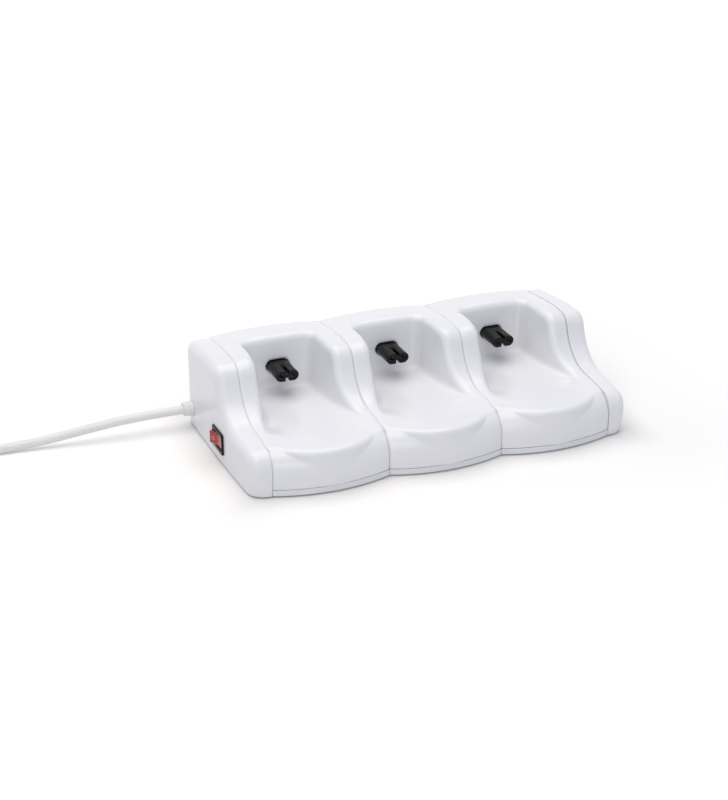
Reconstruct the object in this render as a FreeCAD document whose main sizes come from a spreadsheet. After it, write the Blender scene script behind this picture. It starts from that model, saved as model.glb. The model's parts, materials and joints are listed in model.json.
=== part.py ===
"""Three-bay power base for roll-on wax heaters.

Two end caps and three equal bay modules stand side by side along X. Every size is in millimetres
and is kept in the Sizes spreadsheet. "Depth" is measured backwards (+Y) from the front foot of the
seam between two modules; the finished pieces are then placed so that the origin lies on the
standing surface, under the middle bay, halfway from front to back.
"""
import FreeCAD, Part
import math
import os
import re

Vector = FreeCAD.Vector
doc = FreeCAD.newDocument("WaxHeaterBase")
sheet = doc.addObject("Spreadsheet::Sheet", "Sizes")

# ---------------------------------------------------------------- driving dimensions

SIZES = {
    # overall arrangement
    "bay_pitch": (81.0, "width of one bay module, seam to seam"),
    "seam_gap": (0.3, "gap between neighbouring mouldings"),
    "body_depth": (133.5, "front foot of a seam to the rear wall"),
    "floor_clearance": (1.2, "underside of the housing above the table"),
    "parting_height": (5.0, "line between bay shell and base plate"),
    "wall": (2.5, "moulded wall thickness"),
    "side_wall": (2.0, "wall between two modules"),
    # side profile of the housing at a seam
    "nose_height": (29.3, "front corner of the shelf"),
    "nose_lean": (0.9, "how far the nose overhangs its foot"),
    "nose_radius": (12.0, "rounding of the nose at a seam"),
    "nose_plain": (0.3, "plain front below the nose at the middle of a bay"),
    "shelf_depth": (56.5, "where shelf and cheek front would meet"),
    "shelf_rise": (5.7, "that corner above the front corner of the shelf"),
    "sweep_radius": (31.0, "hollow sweep from shelf to cheek"),
    "shoulder_lean": (10.3, "front corner of the top behind the shelf's"),
    "shoulder_radius": (10.5, "rounding of the shoulder"),
    "crest_run": (21.2, "highest point of the top behind its front corner"),
    "crest_height": (66.1, "height of the top"),
    "crest_radius": (120.0, "gentle turn at the crest"),
    "shoulder_drop": (1.3, "front corner of the top below its highest point"),
    "rear_drop": (4.9, "rear corner of the top below its highest point"),
    "rear_radius": (5.0, "rounding of the rear corner"),
    "front_bow": (7.5, "how far a bay front bulges forward"),
    "top_crown": (2.4, "how far a bay top bulges upward"),
    # round rim of the bowl in front of each bay
    "bowl_overhang": (4.8, "outside of the bowl wall beyond the seam of its bay"),
    "bowl_centre": (37.0, "depth of the bowl's centre"),
    "rim_rise": (1.5, "rim at its foremost point above the front corner of the shelf"),
    "rim_radius": (3.5, "rounding of the rim"),
    "floor_fall": (3.3, "bay floor at the back wall below the foremost point of the rim"),
    # recess that takes a heater
    "service_room": (32.0, "room behind the recess, from its back wall at the floor to the rear wall"),
    "recess_width": (46.0, "width of the back wall"),
    "cheek_plain": (0.5, "plain cheek between a back corner and the flare"),
    "mouth_depth": (21.9, "depth where the recess opens into the bowl"),
    "mouth_cheek": (2.0, "cheek left beside the recess at that depth"),
    "flare_end": (10.0, "depth where the flare runs out"),
    "wall_draft": (4.0, "draft of the recess walls in degrees"),
    "corner_radius": (6.0, "upright corners of the recess"),
    "floor_fillet": (4.0, "rounding between floor and walls"),
    "edge_fillet": (5.0, "rounding of the recess's upper edge"),
    # end caps
    "cap_width": (15.8, "end cap at its widest"),
    "cap_bow_radius": (2000.0, "plan radius of the cap's side"),
    "cap_bow_depth": (97.0, "depth where the cap is widest"),
    "cap_edge_fillet": (6.5, "rounding of the cap's outer edge at the rear foot"),
    "cap_front_fillet": (12.0, "rounding of that edge at the front foot"),
    "cap_rear_radius": (8.0, "rounding of the cap's rear corner"),
    # passage and screws between modules
    "passage_front": (48.0, "front of the passage in a side wall"),
    "passage_inset": (6.5, "back of that passage before the rear wall"),
    "passage_height": (27.0, "top of that passage"),
    "joint_low_depth": (22.0, "lower joining screw"),
    "joint_low_height": (15.0, "lower joining screw"),
    "joint_inset": (15.5, "upper joining screw before the rear wall"),
    "joint_high_height": (45.0, "upper joining screw"),
    "joint_screw_radius": (1.45, "shank of a joining screw"),
    "joint_head_radius": (2.8, "head of a joining screw"),
    "joint_head_height": (2.0, "head of a joining screw"),
    "joint_screw_reach": (8.0, "joining screw beyond the side wall"),
    "nut_width": (5.5, "joining nut across flats"),
    "nut_height": (2.4, "joining nut thickness"),
    "cap_boss_radius": (3.4, "boss for a joining screw in a cap"),
    "screw_clearance": (0.05, "play round a screw in its hole"),
    # base plate, its screws and feet
    "base_floor": (2.2, "floor of the base plate"),
    "base_rim": (2.5, "rim round the base plate"),
    "base_screw_front": (-2.0, "depth of the front base screws"),
    "base_screw_inset": (5.0, "rear base screws before the rear wall's outside"),
    "base_boss_radius": (3.5, "boss for a base screw"),
    "base_boss_height": (18.0, "top of those bosses"),
    "base_screw_radius": (1.3, "shank of a base screw"),
    "base_head_radius": (2.6, "head of a base screw"),
    "base_head_height": (1.3, "head of a base screw"),
    "base_screw_length": (11.0, "shank of a base screw"),
    "foot_radius": (5.0, "rubber foot"),
    "foot_x": (27.0, "feet, sideways from the bay's middle"),
    "foot_front": (15.0, "depth of the front feet"),
    "foot_inset": (17.5, "rear feet before the rear wall's outside"),
    "head_play": (0.1, "play round a base screw's head"),
    # figure-eight connector in each bay
    "pin_spacing": (8.6, "distance between the two contact holes"),
    "lobe_radius": (3.85, "rounded lobe round a contact"),
    "connector_height": (44.8, "height of the contact axes"),
    "connector_reach": (19.0, "connector in front of the recess's back wall"),
    "groove_length": (12.5, "grooves between the lobes"),
    "groove_width": (2.4, "width of those grooves"),
    "web_height": (4.6, "web left between the grooves"),
    "mouth_length": (1.0, "plastic in front of a contact"),
    "contact_bore": (1.25, "inside radius of a contact sleeve"),
    "contact_radius": (1.85, "outside radius of a contact sleeve"),
    "contact_length": (14.0, "length of a contact sleeve"),
    "contact_play": (0.05, "play round a contact in its body"),
    "tail_radius": (0.9, "tail behind a contact sleeve"),
    "seat_cover": (2.0, "back wall in front of its thickened seat"),
    "seat_thickness": (2.5, "that seat"),
    "seat_width": (36.0, "width of the seat"),
    "seat_height": (15.6, "height of the seat"),
    "flange_width": (20.6, "flange behind the back wall"),
    "flange_height": (12.0, "flange behind the back wall"),
    "flange_thickness": (2.5, "flange behind the back wall"),
    "rear_boss_width": (12.6, "connector body behind the flange"),
    "rear_boss_height": (6.4, "connector body behind the flange"),
    "rear_boss_length": (4.5, "connector body behind the flange"),
    "opening_play": (0.3, "play round the connector in the wall"),
    "retainer_width": (34.0, "retaining plate"),
    "retainer_height": (11.0, "retaining plate"),
    "retainer_thickness": (2.5, "retaining plate"),
    "retainer_screw_x": (13.6, "retainer screws, sideways"),
    "retainer_screw_radius": (1.15, "shank of a retainer screw"),
    "retainer_head_radius": (2.2, "head of a retainer screw"),
    "retainer_head_height": (1.6, "head of a retainer screw"),
    "retainer_post_radius": (2.6, "post under a retainer screw"),
    "retainer_screw_reach": (6.6, "retainer screw below its head"),
    # rocker switch in the left cap
    "switch_depth": (63.45, "depth of the rocker's pivot"),
    "switch_height": (15.8, "height of the switch's middle"),
    "switch_sink": (0.6, "flat seat of the bezel, below the widest place of the cap"),
    "bezel_length": (21.2, "switch bezel, front to back"),
    "bezel_height": (15.0, "switch bezel, upright"),
    "bezel_thickness": (1.5, "switch bezel"),
    "bezel_corner": (1.6, "corner radius of the bezel"),
    "housing_length": (19.4, "switch body behind the bezel"),
    "housing_height": (12.8, "switch body behind the bezel"),
    "housing_reach": (15.0, "switch body behind the bezel"),
    "housing_floor": (1.8, "floor of the switch body"),
    "rocker_radius": (8.8, "round ends of the rocker"),
    "rocker_height": (9.0, "rocker, upright"),
    "rocker_play": (0.3, "play round the rocker"),
    "rocker_corner_angle": (22.0, "top corner of the rocker, from its middle"),
    "rocker_skirt_angle": (20.0, "bottom corner of the rocker, from its middle"),
    "rocker_tilt": (12.0, "tilt of the rocker either way, in degrees"),
    "pivot_sink": (2.1, "rocker pivot below the bezel's face"),
    "trunnion_radius": (1.2, "rocker trunnions"),
    "trunnion_length": (0.9, "rocker trunnions"),
    "trunnion_play": (0.05, "play round a trunnion"),
    "plunger_radius": (1.1, "spring plunger below the rocker"),
    "plunger_reach": (8.7, "plunger tip from the pivot"),
    "lamp_radius": (1.5, "neon lamp in the rocker"),
    "lamp_length": (6.0, "neon lamp in the rocker"),
    "lamp_offset": (5.0, "lamp's middle from the rocker's middle"),
    "arm_length": (15.0, "see-saw contact arm"),
    "arm_width": (4.0, "see-saw contact arm"),
    "arm_thickness": (0.6, "see-saw contact arm"),
    "arm_pivot": (9.3, "arm's pivot from the rocker's pivot"),
    "arm_knuckle": (0.9, "round knuckle the arm rocks on"),
    "arm_tilt": (9.0, "tilt of the arm either way, in degrees"),
    "terminal_spacing": (6.8, "distance between terminal blades"),
    "terminal_width": (4.8, "terminal blade"),
    "terminal_thickness": (0.8, "terminal blade"),
    "terminal_reach": (8.0, "terminal blade outside the switch"),
    "terminal_play": (0.1, "play round a blade in its slot"),
    "terminal_gap": (0.2, "gap between contact arm and its seat"),
    # mains lead
    "lead_inset": (11.5, "lead's exit before the rear wall's outside"),
    "lead_height": (14.0, "height of the lead's exit"),
    "lead_radius": (3.15, "round two-core lead"),
    "bush_radius": (5.4, "strain relief bush at the cap"),
    "bush_tip_radius": (4.6, "strain relief bush at its outer end"),
    "bush_proud": (7.0, "strain relief bush outside the cap"),
    "bush_neck_radius": (4.7, "strain relief bush in the wall"),
    "bush_inner_length": (10.5, "strain relief bush inside the cap"),
    "lead_inner_end": (17.0, "lead inside the cap, from its side"),
    "coil_radius": (35.0, "middle of the coiled turns"),
    "coil_wide": (2.0, "turns side by side in the coil"),
    "coil_high": (3.0, "turns on top of each other in the coil"),
    "plug_length": (36.0, "two-pin plug, flat body"),
    "plug_width": (26.0, "two-pin plug at its widest"),
    "plug_height": (13.7, "two-pin plug, thickness"),
    "plug_neck_width": (14.0, "two-pin plug at the lead"),
    "plug_relief_length": (14.0, "ribbed strain relief of the plug"),
    "plug_relief_radius": (4.6, "ribbed strain relief of the plug"),
    "plug_pin_radius": (2.0, "plug pins"),
    "plug_pin_length": (19.0, "plug pins"),
    "plug_pin_spacing": (18.6, "distance between the plug pins"),
    "plug_root_radius": (1.6, "root of a plug pin in the body"),
    "plug_root_length": (6.0, "root of a plug pin in the body"),
    # inner wiring
    "wire_radius": (1.2, "insulated inner wire"),
    "wire_bend": (3.5, "bend radius of an inner wire"),
    "live_run_inset": (10.5, "live wire behind the recesses, before the rear wall"),
    "live_run_height": (22.0, "live wire behind the recesses"),
    "neutral_run_inset": (15.0, "neutral wire behind the recesses, before the rear wall"),
    "neutral_run_height": (18.0, "neutral wire behind the recesses"),
    "joint_air": (0.3, "gap left where a wire meets its terminal"),
}

for row, (alias, (value, note)) in enumerate(SIZES.items(), start=1):
    sheet.set(f"A{row}", alias.replace("_", " "))
    sheet.set(f"B{row}", str(value))
    sheet.set(f"C{row}", note)
    sheet.setAlias(f"B{row}", alias)
doc.recompute()


class Values:
    """The spreadsheet's values by alias, as plain numbers."""

    def __getattr__(self, alias):
        return float(sheet.get(alias))


size = Values()
CAP_SIDE = "(-1.5 * bay_pitch - cap_width)"
# depths that follow the rear wall or a recess's back wall, as expressions and as numbers
SCREW_BACK = "(body_depth - base_screw_inset)"
FOOT_BACK = "(body_depth - foot_inset)"
JOINT_HIGH = "(body_depth - joint_inset)"
LEAD = "(body_depth - lead_inset)"
LIVE_RUN = "(body_depth - live_run_inset)"
NEUTRAL_RUN = "(body_depth - neutral_run_inset)"
CONNECTOR_FRONT = "(body_depth - service_room - connector_reach)"
SEAT_BACK = "(body_depth - service_room + seat_cover + seat_thickness)"
BAYS = {"left": -1, "middle": 0, "right": 1}
half_width = (size.bay_pitch - size.seam_gap) / 2
cap_seam = 1.5 * size.bay_pitch + size.seam_gap / 2
cap_outside = 1.5 * size.bay_pitch + size.cap_width
recess_depth = size.body_depth - size.service_room
seat_front = recess_depth + size.seat_cover
seat_depth = seat_front + size.seat_thickness
passage_back = size.body_depth - size.passage_inset
joint_high_depth = size.body_depth - size.joint_inset
base_screw_back = size.body_depth - size.base_screw_inset
lead_depth = size.body_depth - size.lead_inset
live_run_depth = size.body_depth - size.live_run_inset
neutral_run_depth = size.body_depth - size.neutral_run_inset
flare_start = recess_depth - size.corner_radius - size.cheek_plain
bowl_radius = size.bay_pitch / 2 + size.bowl_overhang
rim_height = size.nose_height + size.rim_rise
nodes = []


# ---------------------------------------------------------------- small helpers

def placed(bay=0):
    """Placement of a piece that was built about its bay's middle, with depth for Y."""
    return FreeCAD.Placement(Vector(bay * size.bay_pitch, -size.body_depth / 2, 0), FreeCAD.Rotation())


def publish(obj, label, bay=0):
    """Name a finished sub-part and put it in its place in the assembly."""
    obj.Label = label
    obj.Placement = placed(bay).multiply(obj.Placement)
    nodes.append(obj)


def feature(label, shape, bay=0):
    """A sub-part whose shape is worked out with Part's own functions."""
    obj = doc.addObject("Part::Feature", label)
    obj.Shape = shape
    publish(obj, label, bay)


def bound(text):
    """An expression with every alias of the sheet written as Sizes.alias."""
    return re.sub(r"[a-z][a-z_]+", lambda word: "Sizes." + word[0] if word[0] in SIZES else word[0], text)


def solid(kind, sizes, at=("0", "0", "0"), axis=None, turn=0):
    """A Part primitive whose sizes and place are expressions; turn is degrees or an expression."""
    obj = doc.addObject("Part::" + kind, kind)
    if axis is not None:
        bound_turn = isinstance(turn, str)
        obj.Placement = FreeCAD.Placement(Vector(), FreeCAD.Rotation(axis, 1 if bound_turn else turn))
        if bound_turn:
            obj.setExpression(".Placement.Rotation.Angle", bound(turn))
    for name, text in sizes.items():
        obj.setExpression(name, bound(text))
    for letter, text in zip("xyz", at):
        obj.setExpression(".Placement.Base." + letter, bound(text))
    return obj


def box(length, width, height, at):
    """A box by its size along X, Y and Z and its lowest corner."""
    return solid("Box", {"Length": length, "Width": width, "Height": height}, at)


def along_x(radius, length, at):
    """A cylinder along +X from the given point."""
    return solid("Cylinder", {"Radius": radius, "Height": length}, at, Vector(0, 1, 0), 90)


def along_y(radius, length, at):
    """A cylinder along +Y from the given point."""
    return solid("Cylinder", {"Radius": radius, "Height": length}, at, Vector(1, 0, 0), -90)


def along_z(radius, length, at):
    """A cylinder along +Z from the given point."""
    return solid("Cylinder", {"Radius": radius, "Height": length}, at)





def fused(*pieces):
    obj = doc.addObject("Part::MultiFuse", "Fuse")
    obj.Shapes = list(pieces)
    return obj


def cut(base, *tools):
    obj = doc.addObject("Part::Cut", "Cut")
    obj.Base = base
    obj.Tool = tools[0] if len(tools) == 1 else fused(*tools)
    return obj


def common(first, second):
    obj = doc.addObject("Part::MultiCommon", "Common")
    obj.Shapes = [first, second]
    return obj


def group(*pieces):
    """Separate solids of one kind, kept as one sub-part."""
    obj = doc.addObject("Part::Compound", "Group")
    obj.Links = list(pieces)
    return obj


def rounded_wire(corners, radii, place):
    """Closed wire through flat corner points, each rounded by its radius (0 keeps it sharp)."""
    bends = []
    for i, (corner, radius) in enumerate(zip(corners, radii)):
        here = Vector(*corner, 0)
        back = (Vector(*corners[i - 1], 0) - here).normalize()
        ahead = (Vector(*corners[(i + 1) % len(corners)], 0) - here).normalize()
        half = back.getAngle(ahead) / 2
        inward = (back + ahead).normalize()
        run = radius / math.tan(half)
        bends.append((here + back * run, here + inward * (radius / math.sin(half) - radius), here + ahead * run))
    edges = []
    for i, (start, middle, end) in enumerate(bends):
        if radii[i] > 0:
            edges.append(Part.Arc(place(start), place(middle), place(end)).toShape())
        edges.append(Part.LineSegment(place(end), place(bends[(i + 1) % len(bends)][0])).toShape())
    return Part.Wire(edges)


def offset_corners(corners, distance):
    """The corners of a clockwise outline moved inward by the distance."""
    moved = []
    for i, corner in enumerate(corners):
        before = (Vector(*corner, 0) - Vector(*corners[i - 1], 0)).normalize()
        after = (Vector(*corners[(i + 1) % len(corners)], 0) - Vector(*corner, 0)).normalize()
        half = before.getAngle(after) / 2
        inward = Vector(before.y + after.y, -before.x - after.x, 0).normalize()
        step = inward * (distance / math.cos(half))
        moved.append((corner[0] + step.x, corner[1] + step.y))
    return moved


def trimmed(corners, radii):
    """The outline with each rounded corner cut off straight between its tangent points."""
    points = []
    for i, (corner, radius) in enumerate(zip(corners, radii)):
        here = Vector(*corner, 0)
        back = (Vector(*corners[i - 1], 0) - here).normalize()
        ahead = (Vector(*corners[(i + 1) % len(corners)], 0) - here).normalize()
        run = radius / math.tan(back.getAngle(ahead) / 2)
        for spot in [here + back * run, here + ahead * run] if radius > 0 else [here]:
            points.append((spot.x, spot.y))
    return points


def slab(corners, low, high):
    """A wall-to-wall prism along X of an outline in depth and height."""
    wire = Part.makePolygon([Vector(low, d, z) for d, z in corners + corners[:1]])
    return Part.Face(wire).extrude(Vector(high - low, 0, 0))


def middle_of(edge):
    return edge.valueAt((edge.FirstParameter + edge.LastParameter) / 2)


# ---------------------------------------------------------------- housing forms

def side_profile(x, foot, inset=0.0):
    """Outline of the housing in depth and height at a distance x from the bay's middle."""
    fade = 1 - min(1.0, abs(x) / (size.bay_pitch / 2)) ** 2
    front = -size.front_bow * fade
    top = size.crest_height + size.top_crown * fade
    shoulder = size.shelf_depth + size.shoulder_lean
    fullest = size.nose_height - size.parting_height - size.nose_plain
    nose = size.nose_radius + (fullest - size.nose_radius) * fade
    corners = [
        (front, foot),
        (front - size.nose_lean, size.nose_height),
        (size.shelf_depth, size.nose_height + size.shelf_rise),
        (shoulder, top - size.shoulder_drop),
        (shoulder + size.crest_run, top),
        (size.body_depth, top - size.rear_drop),
        (size.body_depth, foot),
    ]
    radii = [0, nose, size.sweep_radius, size.shoulder_radius, size.crest_radius, size.rear_radius, 0]
    if inset > 0:
        corners = offset_corners(corners, inset)
        radii = [0] + [radii[1] - inset, radii[2] + inset] + [r - inset for r in radii[3:6]] + [0]
    return corners, radii


def shoulder_form(half, foot, stations):
    """Loft of the side profile across one bay: bowed front, crowned top."""
    wires = []
    for share in stations:
        corners, radii = side_profile(share * half, foot)
        wires.append(rounded_wire(corners, radii, lambda p, x=share * half: Vector(x, p.x, p.y)))
    return Part.makeLoft(wires, True, False)


def floor_height(depth):
    """Height of the tilted plane that holds the rim and the bay's floor."""
    front = size.bowl_centre - bowl_radius
    return rim_height - size.floor_fall * (depth - front) / (recess_depth - front)


def bowl_form(half, foot, inset=0.0):
    """Upright round wall in front of a bay, cut off by the floor plane, its rim rounded."""
    far = 2 * size.body_depth
    high = 2 * rim_height
    wall = Part.makeCylinder(bowl_radius - inset, high, Vector(0, size.bowl_centre, foot))
    above = [(-far, floor_height(-far) - inset), (far, floor_height(far) - inset), (far, 2 * high), (-far, 2 * high)]
    wall = wall.cut(slab(above, -far, far))
    if inset == 0:
        wall = wall.makeFillet(size.rim_radius, [e for e in wall.Edges if e.BoundBox.ZMin > foot + 1])
    return wall.common(Part.makeBox(2 * half, 2 * far, 2 * high, Vector(-half, -far, 0)))


def flare_radius():
    """Plan radius of the parting cheeks, which leave their plain part without a corner."""
    spread = (size.bay_pitch - size.recess_width) / 2 - size.mouth_cheek
    reach = flare_start - size.mouth_depth
    return (spread ** 2 + reach ** 2) / (2 * spread)


def recess_plan(grow, height):
    """Plan of the recess at a height: straight at the back, then parting cheeks."""
    narrow = size.recess_width / 2 + grow
    radius = flare_radius() - grow
    far = size.flare_end
    between = (flare_start + far) / 2

    def flare(depth):
        return narrow + radius - math.sqrt(radius ** 2 - (flare_start - depth) ** 2)

    def at(x, depth):
        return Vector(x, depth, height)

    back = recess_depth + grow
    wide = flare(far)
    front = size.bowl_centre - 2 * bowl_radius
    return Part.Wire([
        Part.LineSegment(at(-wide, front), at(-wide, far)).toShape(),
        Part.Arc(at(-wide, far), at(-flare(between), between), at(-narrow, flare_start)).toShape(),
        Part.LineSegment(at(-narrow, flare_start), at(-narrow, back)).toShape(),
        Part.LineSegment(at(-narrow, back), at(narrow, back)).toShape(),
        Part.LineSegment(at(narrow, back), at(narrow, flare_start)).toShape(),
        Part.Arc(at(narrow, flare_start), at(flare(between), between), at(wide, far)).toShape(),
        Part.LineSegment(at(wide, far), at(wide, front)).toShape(),
        Part.LineSegment(at(wide, front), at(-wide, front)).toShape(),
    ])


def recess_form(grow=0.0):
    """The space that takes a heater: drafted walls over the floor plane, open in front and above."""
    low = rim_height / 2
    high = 1.5 * size.crest_height
    slope = math.tan(math.radians(size.wall_draft))
    plans = [recess_plan(grow + (z - rim_height) * slope, z) for z in (low, high)]
    form = Part.makeLoft(plans, True, True)
    far = 2 * size.body_depth
    above = [(-far, floor_height(-far) - grow), (far, floor_height(far) - grow), (far, 2 * high), (-far, 2 * high)]
    form = form.common(slab(above, -far, far))
    disc = Part.makeCylinder(bowl_radius - size.rim_radius + grow, high, Vector(0, size.bowl_centre, 0))
    behind = Part.makeBox(2 * far, far, high, Vector(-far, size.bowl_centre, 0))
    return form.common(disc.fuse(behind)).removeSplitter()


def rounded_recess():
    """The recess with its upright corners and the edge of its floor rounded."""
    form = recess_form()
    back = recess_depth - size.floor_fillet
    upright = [e for e in form.Edges if e.BoundBox.YMin > back and e.BoundBox.ZLength > rim_height]
    form = form.makeFillet(size.corner_radius, upright)
    rim = size.bowl_centre - bowl_radius / 2
    level = floor_height(rim)
    floor = [e for e in form.Edges if e.BoundBox.ZMax < level and e.BoundBox.YMin > rim]
    return form.makeFillet(size.floor_fillet, floor)


def hollow_outline(x, foot):
    """The side profile one wall thickness further in, open below, its rounded corners trimmed."""
    corners, radii = side_profile(x, foot, size.wall)
    corners[0] = (corners[0][0], foot - 1)
    corners[-1] = (corners[-1][0], foot - 1)
    nose, shoulder, rear = radii[1], radii[3], radii[5]
    return trimmed(corners, [0, nose, 0, shoulder, 0, rear, 0])


def inner_form(half, foot):
    """The hollow of a bay shell: plain walls one wall thickness inside the outer form."""
    stations = []
    for share in (-1, 0, 1):
        outline = hollow_outline(share * half, foot)
        stations.append(Part.makePolygon([Vector(share * half, d, z) for d, z in outline + outline[:1]]))
    hollow = Part.makeLoft(stations, True, True)
    return hollow.cut(recess_form(size.wall))


# ---------------------------------------------------------------- bay shell

def seat_hole(depth, length, play):
    """Rounded slot for the connector through the back wall."""
    radius = size.lobe_radius + play
    lobes = [
        Part.makeCylinder(radius, length, Vector(x, depth, size.connector_height), Vector(0, 1, 0))
        for x in (-size.pin_spacing / 2, size.pin_spacing / 2)
    ]
    bar = Part.makeBox(size.pin_spacing, length, 2 * radius,
                       Vector(-size.pin_spacing / 2, depth, size.connector_height - radius))
    return lobes[0].fuse([lobes[1], bar])


def base_screw_depths():
    return size.base_screw_front, base_screw_back


def joint_places():
    return [(size.joint_low_depth, size.joint_low_height), (joint_high_depth, size.joint_high_height)]


def bay_shell():
    """One moulded bay module: outer form, recess, hollow, bosses and openings."""
    foot = size.parting_height
    recess = rounded_recess()
    shoulder = shoulder_form(half_width, foot, (-1, -0.5, 0, 0.5, 1))
    outer = shoulder.fuse(bowl_form(half_width, foot)).cut(recess)
    skin = Part.Shell(shoulder.Faces)
    walls = Part.Shell(recess.Faces)
    edges = []
    for edge in outer.Edges:
        point = middle_of(edge)
        spot = Part.Vertex(point)
        on_both = spot.distToShape(skin)[0] < 1e-3 and spot.distToShape(walls)[0] < 1e-3
        if on_both and point.y > size.mouth_depth and point.z > floor_height(point.y) + 0.5:
            edges.append(edge)
    outer = outer.makeFillet(size.edge_fillet, edges)

    inner_half = half_width - size.side_wall
    hollow = inner_form(inner_half, foot)
    shell = outer.cut(hollow)

    seat_low = size.connector_height - size.seat_height / 2
    seat = Part.makeBox(size.seat_width, size.seat_thickness, size.seat_height,
                        Vector(-size.seat_width / 2, seat_front, seat_low))
    post_length = size.flange_thickness
    extras = [seat]
    cuts = [seat_hole(recess_depth - size.wall, 3 * size.wall, size.opening_play)]
    for x in (-size.retainer_screw_x, size.retainer_screw_x):
        post = Vector(x, seat_depth - 0.5, size.connector_height)
        extras.append(Part.makeCylinder(size.retainer_post_radius, post_length + 0.5, post, Vector(0, 1, 0)))
        pilot = Vector(x, seat_front + 0.8, size.connector_height)
        cuts.append(Part.makeCylinder(size.retainer_screw_radius + size.screw_clearance,
                                      2 * post_length + size.wall, pilot, Vector(0, 1, 0)))
    for d in base_screw_depths():
        boss = Part.makeCylinder(size.base_boss_radius, size.base_boss_height - foot, Vector(0, d, foot))
        extras.append(boss.common(outer))
        cuts.append(Part.makeCylinder(size.base_screw_radius + size.screw_clearance,
                                      size.base_screw_length, Vector(0, d, foot)))
    passage = Part.makeBox(2 * half_width, passage_back - size.passage_front, size.passage_height - foot,
                           Vector(-half_width, size.passage_front, foot))
    cuts.append(passage.cut(Part.makeBox(2 * inner_half, size.body_depth, size.passage_height,
                                         Vector(-inner_half, 0, foot))))
    for d, z in joint_places():
        cuts.append(Part.makeCylinder(size.joint_screw_radius + size.screw_clearance, 2 * half_width,
                                      Vector(-half_width, d, z), Vector(1, 0, 0)))
    return shell.fuse(extras).cut(cuts).removeSplitter()


def make_bay_shells():
    shape = bay_shell()
    for name, bay in BAYS.items():
        feature(f"bay_shell_{name}", shape, bay)


# ---------------------------------------------------------------- end caps

def cap_boss(depth, height, pilot):
    """Boss for a joining screw, from the cap's side wall to the seam."""
    radius = size.joint_screw_radius + size.screw_clearance if pilot else size.cap_boss_radius
    reach = size.joint_screw_reach if pilot else size.cap_width - size.wall / 2
    return Part.makeCylinder(radius, reach, Vector(cap_seam, depth, height), Vector(1, 0, 0))


def cap_room():
    """Upright block whose round front corner keeps the hollow clear of the cap's rounded edge."""
    inboard = size.cap_front_fillet
    reach = inboard + size.cap_width - size.cap_edge_fillet
    room = Part.makeBox(reach, size.body_depth, 2 * size.crest_height, Vector(cap_seam - inboard, size.wall, 0))
    upright = [e for e in room.Edges if e.BoundBox.ZLength > size.crest_height]
    corner = [e for e in upright if middle_of(e).x > cap_seam and middle_of(e).y < size.body_depth / 2]
    return room.makeFillet(size.cap_front_fillet - size.wall, corner)


def right_cap():
    """Right end cap: the seam profile run outwards, bowed in plan, its outer edge rounded."""
    foot = size.floor_clearance
    corners, radii = side_profile(size.bay_pitch, foot)
    radii[5] = size.cap_rear_radius
    wire = rounded_wire(corners, radii, lambda p: Vector(cap_seam, p.x, p.y))
    block = Part.Face(wire).extrude(Vector(2 * size.cap_width, 0, 0))
    bow_middle = Vector(cap_outside - size.cap_bow_radius, size.cap_bow_depth, 0)
    block = block.common(Part.makeCylinder(size.cap_bow_radius, 2 * size.crest_height, bow_middle))
    inside = cap_seam + size.cap_width / 2
    outer_edges = [e for e in block.Edges if e.BoundBox.XMin > inside]
    outer_edges.sort(key=lambda e: middle_of(e).y)
    outer = block.makeFillet(size.cap_front_fillet, size.cap_edge_fillet, outer_edges[:1])

    hollow = slab(hollow_outline(size.bay_pitch, foot), cap_seam - 1, 2 * cap_outside)
    side = bow_middle - Vector(size.cap_edge_fillet - size.wall, 0, 0)
    hollow = hollow.common(Part.makeCylinder(size.cap_bow_radius, 2 * size.crest_height, side))
    shell = outer.cut(hollow.common(cap_room()).common(outer))
    bosses = [cap_boss(d, z, False).common(outer) for d, z in joint_places()]
    pilots = [cap_boss(d, z, True) for d, z in joint_places()]
    return shell.fuse(bosses).cut(pilots)


def make_end_caps():
    """The left cap mirrors the right one and also takes the switch and the mains lead."""
    right = right_cap()
    feature("right_end_cap", right)
    left = right.mirror(Vector(), Vector(1, 0, 0))
    window = switch_opening(size.housing_length, size.housing_height, size.opening_play, size.cap_width)
    seat = switch_opening(size.bezel_length, size.bezel_height, size.contact_play, 0)
    lead_hole = Part.makeCylinder(size.bush_neck_radius + size.screw_clearance, size.cap_width,
                                  Vector(-cap_outside - size.wall, lead_depth, size.lead_height),
                                  Vector(1, 0, 0))
    feature("left_end_cap", left.cut([window, seat, lead_hole]))


def switch_opening(length, height, play, reach):
    """Room for the switch from outside the cap to a distance behind the flat seat of its bezel."""
    start = -cap_outside - size.wall
    low = Vector(start, size.switch_depth - length / 2 - play, size.switch_height - height / 2 - play)
    return Part.makeBox(seat_x() + reach - start, length + 2 * play, height + 2 * play, low)


# ---------------------------------------------------------------- base plates, feet and their screws

def bowed_block(inset, low, high):
    """Block with the bay's bowed front between two heights, inset all round."""
    radius = "((bay_pitch / 2) ^ 2 + front_bow ^ 2) / (2 * front_bow)"
    half = f"((bay_pitch - seam_gap) / 2 - {inset})"
    block = box(f"2 * {half}", f"body_depth + front_bow - 2 * {inset}", f"{high} - ({low})",
                (f"-{half}", f"{inset} - front_bow", low))
    bow = along_z(f"{radius} - {inset}", f"{high} - ({low})", ("0", f"{radius} - front_bow", low))
    return common(block, bow)


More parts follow.
